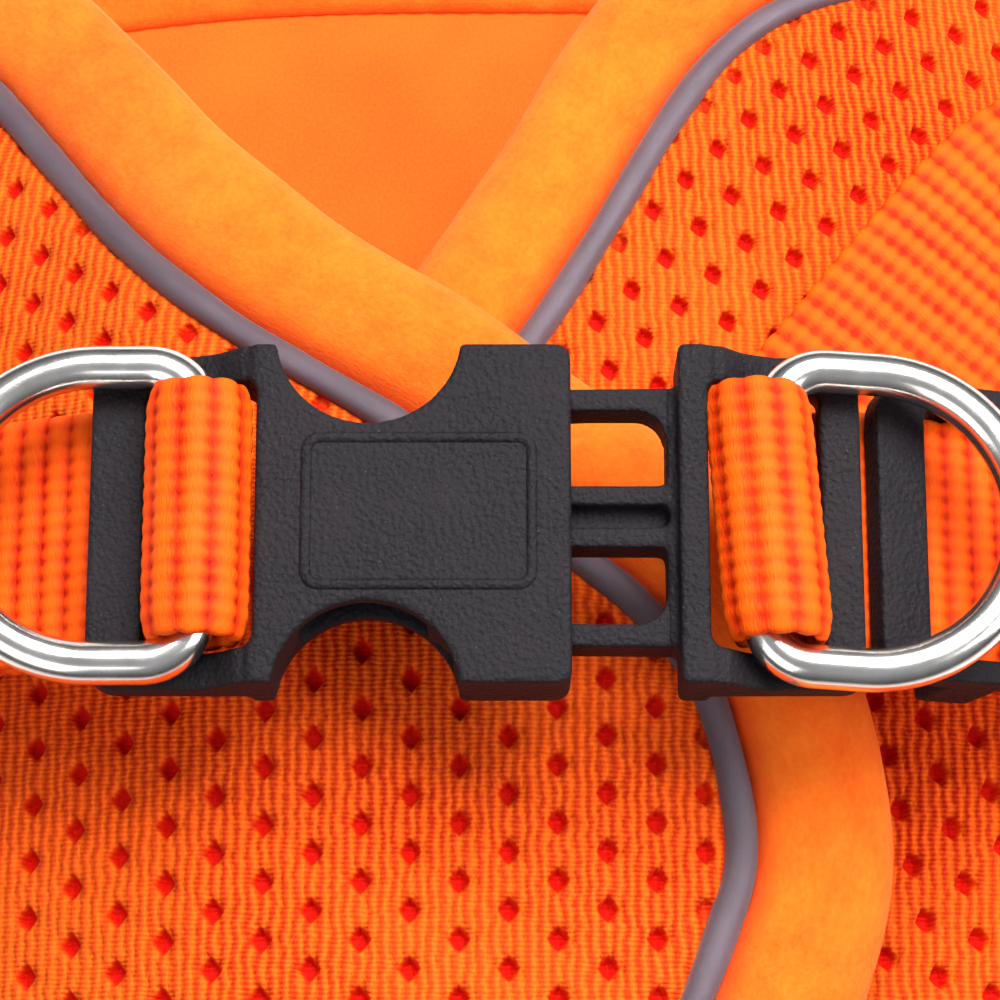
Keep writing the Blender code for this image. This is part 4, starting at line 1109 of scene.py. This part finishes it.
def make_male():
    """The plug half: a shoulder, a tail with the strap's slot and bar, and a grooved guide."""
    half = BUCKLE_HALF_WIDTH
    shoulder = rounded_box(SHOULDER_X, MALE_SLOT_X + 0.3, -half, half, 0.5)
    body = prism("plug_half", shoulder, BODY_LOW + 0.2, BODY_HIGH - 0.2)
    add(body, rounded_box(SHOULDER_X + 0.7, MALE_END_X, -half + 0.1, half - 0.1, 1.6), TAIL_LOW, TAIL_HIGH)
    side_ramps(body, MALE_SLOT_X - 0.6, MALE_SLOT_X + 5.1)
    web = rounded_box(ARM_ROOT_X + 0.3, SHOULDER_X + 0.7, -ARM_OUTER_Y, ARM_OUTER_Y, 0.3)
    add(body, web, TONGUE_LOW - 0.15, TONGUE_HIGH + 0.15)
    guide = rounded_box(GUIDE_TIP_X, ARM_ROOT_X + 1.0, -GUIDE_HALF_WIDTH, GUIDE_HALF_WIDTH, 0.8)
    add(body, guide, TONGUE_LOW, TONGUE_HIGH)
    groove = rounded_box(GUIDE_TIP_X + 1.5, ARM_ROOT_X + 0.6, -0.9, 0.9, 0.85)
    cut(body, groove, TONGUE_HIGH - 1.6, TONGUE_HIGH + 1.0)
    cut(body, rounded_box(MALE_SLOT_X, MALE_BAR_X, -SLOT_HALF_WIDTH, SLOT_HALF_WIDTH, 1.0), *THROUGH)
    moulded(body, "plug", "buckle_male", smoothing=8)


def make_arms():
    """The two sprung arms, each with a catch at its tip."""
    outer = [(ARM_ROOT_X + 0.9, ARM_OUTER_Y), (5.0, ARM_OUTER_Y - 0.1), (1.4, ARM_OUTER_Y - 0.4)]
    catch = [(1.0, 11.0), (-1.6, 11.0), (-4.2, 10.0)] + arc(ARM_TIP_X + 1.1, 8.2, 1.1, 100, 235, 8)
    inner = [(-1.5, 7.0), (1.2, 7.6), (3.5, 8.4), (7.0, 8.55)]
    root = arc(ARM_ROOT_X - 2.0, 6.35, 2.2, 90, 8, 10) + [(ARM_ROOT_X + 0.9, 5.8)]
    outline = np.array(outer + catch + inner + root)
    for name, sign in (("upper", 1), ("lower", -1)):
        arm = prism(f"{name}_catch_arm", outline * (1, sign), TONGUE_LOW, TONGUE_HIGH)
        moulded(arm, f"{name}_latch", f"{name}_arm", cell=0.2, smoothing=4)


def make_slider():
    """The strap adjuster: a frame over the strap and a bar under it, which two posts hold."""
    length, half = SLIDER_HALF_LENGTH, SLIDER_HALF_WIDTH
    clear, bar_top = slider_heights()
    body = prism("strap_adjuster", rounded_box(-length, length, -half, half, 3.2), clear, clear + 2.6)
    cut(body, rounded_box(-length + 4.2, length - 4.2, -half + 1.9, half - 1.9, 1.4), -20.0, 20.0)
    bar = [(-1.6, bar_top - 1.5), (1.6, bar_top - 1.5), (1.6, bar_top), (-1.6, bar_top)]
    combine(body, "UNION", bar_along_y(bar, -half + 0.6, half - 0.6))
    for middle in (half - 1.0, 1.0 - half):
        add(body, rounded_box(-2.4, 2.4, middle - 0.8, middle + 0.8, 0.4), bar_top - 1.3, clear + 1.2)
    places = np.zeros(len(body.data.vertices) * 3)
    body.data.vertices.foreach_get("co", places)
    body.data.vertices.foreach_set("co", (on_slider(places.reshape(-1, 3) / MM) * MM).ravel())
    body.data.update()
    moulded(body, "adjuster", "slider", cell=0.2)


def make_ring(name, bar_x, side, yaw=0.0):
    """A D-ring of round wire: a straight side within the webbing, two corners and a half-round bow."""
    corner = arc(RING_CORNER, RING_HALF_WIDTH - RING_CORNER, RING_CORNER, 180, 90, 12)
    bow = arc(RING_ARC_X, 0.0, RING_HALF_WIDTH, 90, -90, 48)
    line = even(corner + bow + [(x, -y) for x, y in reversed(corner)], 0.45, closed=True)
    cos, sin = math.cos(yaw), math.sin(yaw)
    x, y = side * line[:, 0], line[:, 1]
    x, y = bar_x - side * RING_FROM_BAR + cos * x - sin * y, sin * x + cos * y
    line = np.stack([x, y, np.full(len(x), RING_Z)], -1)
    up = np.array([0.0, 0.0, 1.0])
    out = np.cross(tangents(line, closed=True), up)
    cos, sin = (a[None, :, None] for a in circle(28))
    rings = line[:, None] + RING_WIRE_RADIUS * (out[:, None] * cos + up * sin)
    made = tube(f"{name}_d_ring", rings, nickel, closed=True)
    dress(made, f"{name}_leash_ring", "ring_metal", f"{name}_ring")


# ---------------------------------------------------------------- room, light and camera


# Metres and watts: each light's place, what it points at, its size and its power.
LIGHTS = (
    ((0.08, 0.20, 0.46), (0.0, 0.03, 0.08), (0.36, 0.26), 4.6),
    ((0.46, -0.08, 0.42), (0.0, 0.0, 0.07), (0.3, 0.4), 1.8),
    ((-0.3, -0.34, 0.45), (0.0, 0.0, 0.06), (0.4, 0.35), 1.1),
)
WORLD_STRENGTH = 0.36
CAMERA_AIM, CAMERA_DISTANCE, CAMERA_ELEVATION = Vector((0.0, 0.0018, 0.086)), 0.255, math.radians(74.5)
CAMERA_LENS = 117.7


def make_world():
    """A soft room, bright overhead and dim at the horizon."""
    world = bpy.data.worlds.new("soft_room")
    bpy.context.scene.world = world
    world.use_nodes = True
    tree = world.node_tree
    coords = tree.nodes.new("ShaderNodeTexCoord")
    split = tree.nodes.new("ShaderNodeSeparateXYZ")
    tree.links.new(coords.outputs["Generated"], split.inputs[0])
    blend = tree.nodes.new("ShaderNodeValToRGB")
    horizon, overhead = blend.color_ramp.elements
    horizon.position, horizon.color = 0.05, (0.16, 0.17, 0.18, 1.0)
    overhead.position, overhead.color = 0.85, (0.9, 0.93, 1.0, 1.0)
    tree.links.new(split.outputs[2], blend.inputs[0])
    background = tree.nodes["Background"]
    tree.links.new(blend.outputs[0], background.inputs[0])
    background.inputs[1].default_value = WORLD_STRENGTH


def make_floor():
    bpy.ops.mesh.primitive_plane_add(size=6, location=(0, 0, -0.0002))
    floor = bpy.context.object
    n = Nodes("pale_floor", 0.6)
    n.set(Base_Color=linear((244, 240, 236)))
    floor.data.materials.append(n.material)


def placed(name, data, place, aim):
    """A light or camera at one place, turned towards another."""
    made = bpy.data.objects.new(name, data)
    made.location = place
    made.rotation_euler = (Vector(aim) - Vector(place)).to_track_quat("-Z", "Y").to_euler()
    bpy.context.scene.collection.objects.link(made)
    return made


def make_lights():
    for place, aim, size, power in LIGHTS:
        light = bpy.data.lights.new("soft_box", "AREA")
        light.shape, light.size, light.size_y = "RECTANGLE", *size
        light.energy = power
        placed("soft_box", light, place, aim)


def make_camera():
    camera = bpy.data.cameras.new("camera")
    camera.sensor_width, camera.lens, camera.clip_start = 36.0, CAMERA_LENS, 0.01
    back = Vector((0, -math.cos(CAMERA_ELEVATION), math.sin(CAMERA_ELEVATION)))
    bpy.context.scene.camera = placed("camera", camera, CAMERA_AIM + back * CAMERA_DISTANCE, CAMERA_AIM)
    bpy.context.scene.view_settings.view_transform = "Standard"


make_panels()
make_band()
make_piping()
make_leg_bindings()
make_seams()
make_patches()
make_left_strap()
make_right_straps()
make_shoulder_straps()
make_slider_loop()
make_female()
make_panel_ridge()
make_male()
make_arms()
make_slider()
make_ring("left", FEMALE_BAR_X, -1)
make_ring("right", MALE_BAR_X, 1, RIGHT_RING_YAW)
make_floor()
make_world()
make_lights()
make_camera()
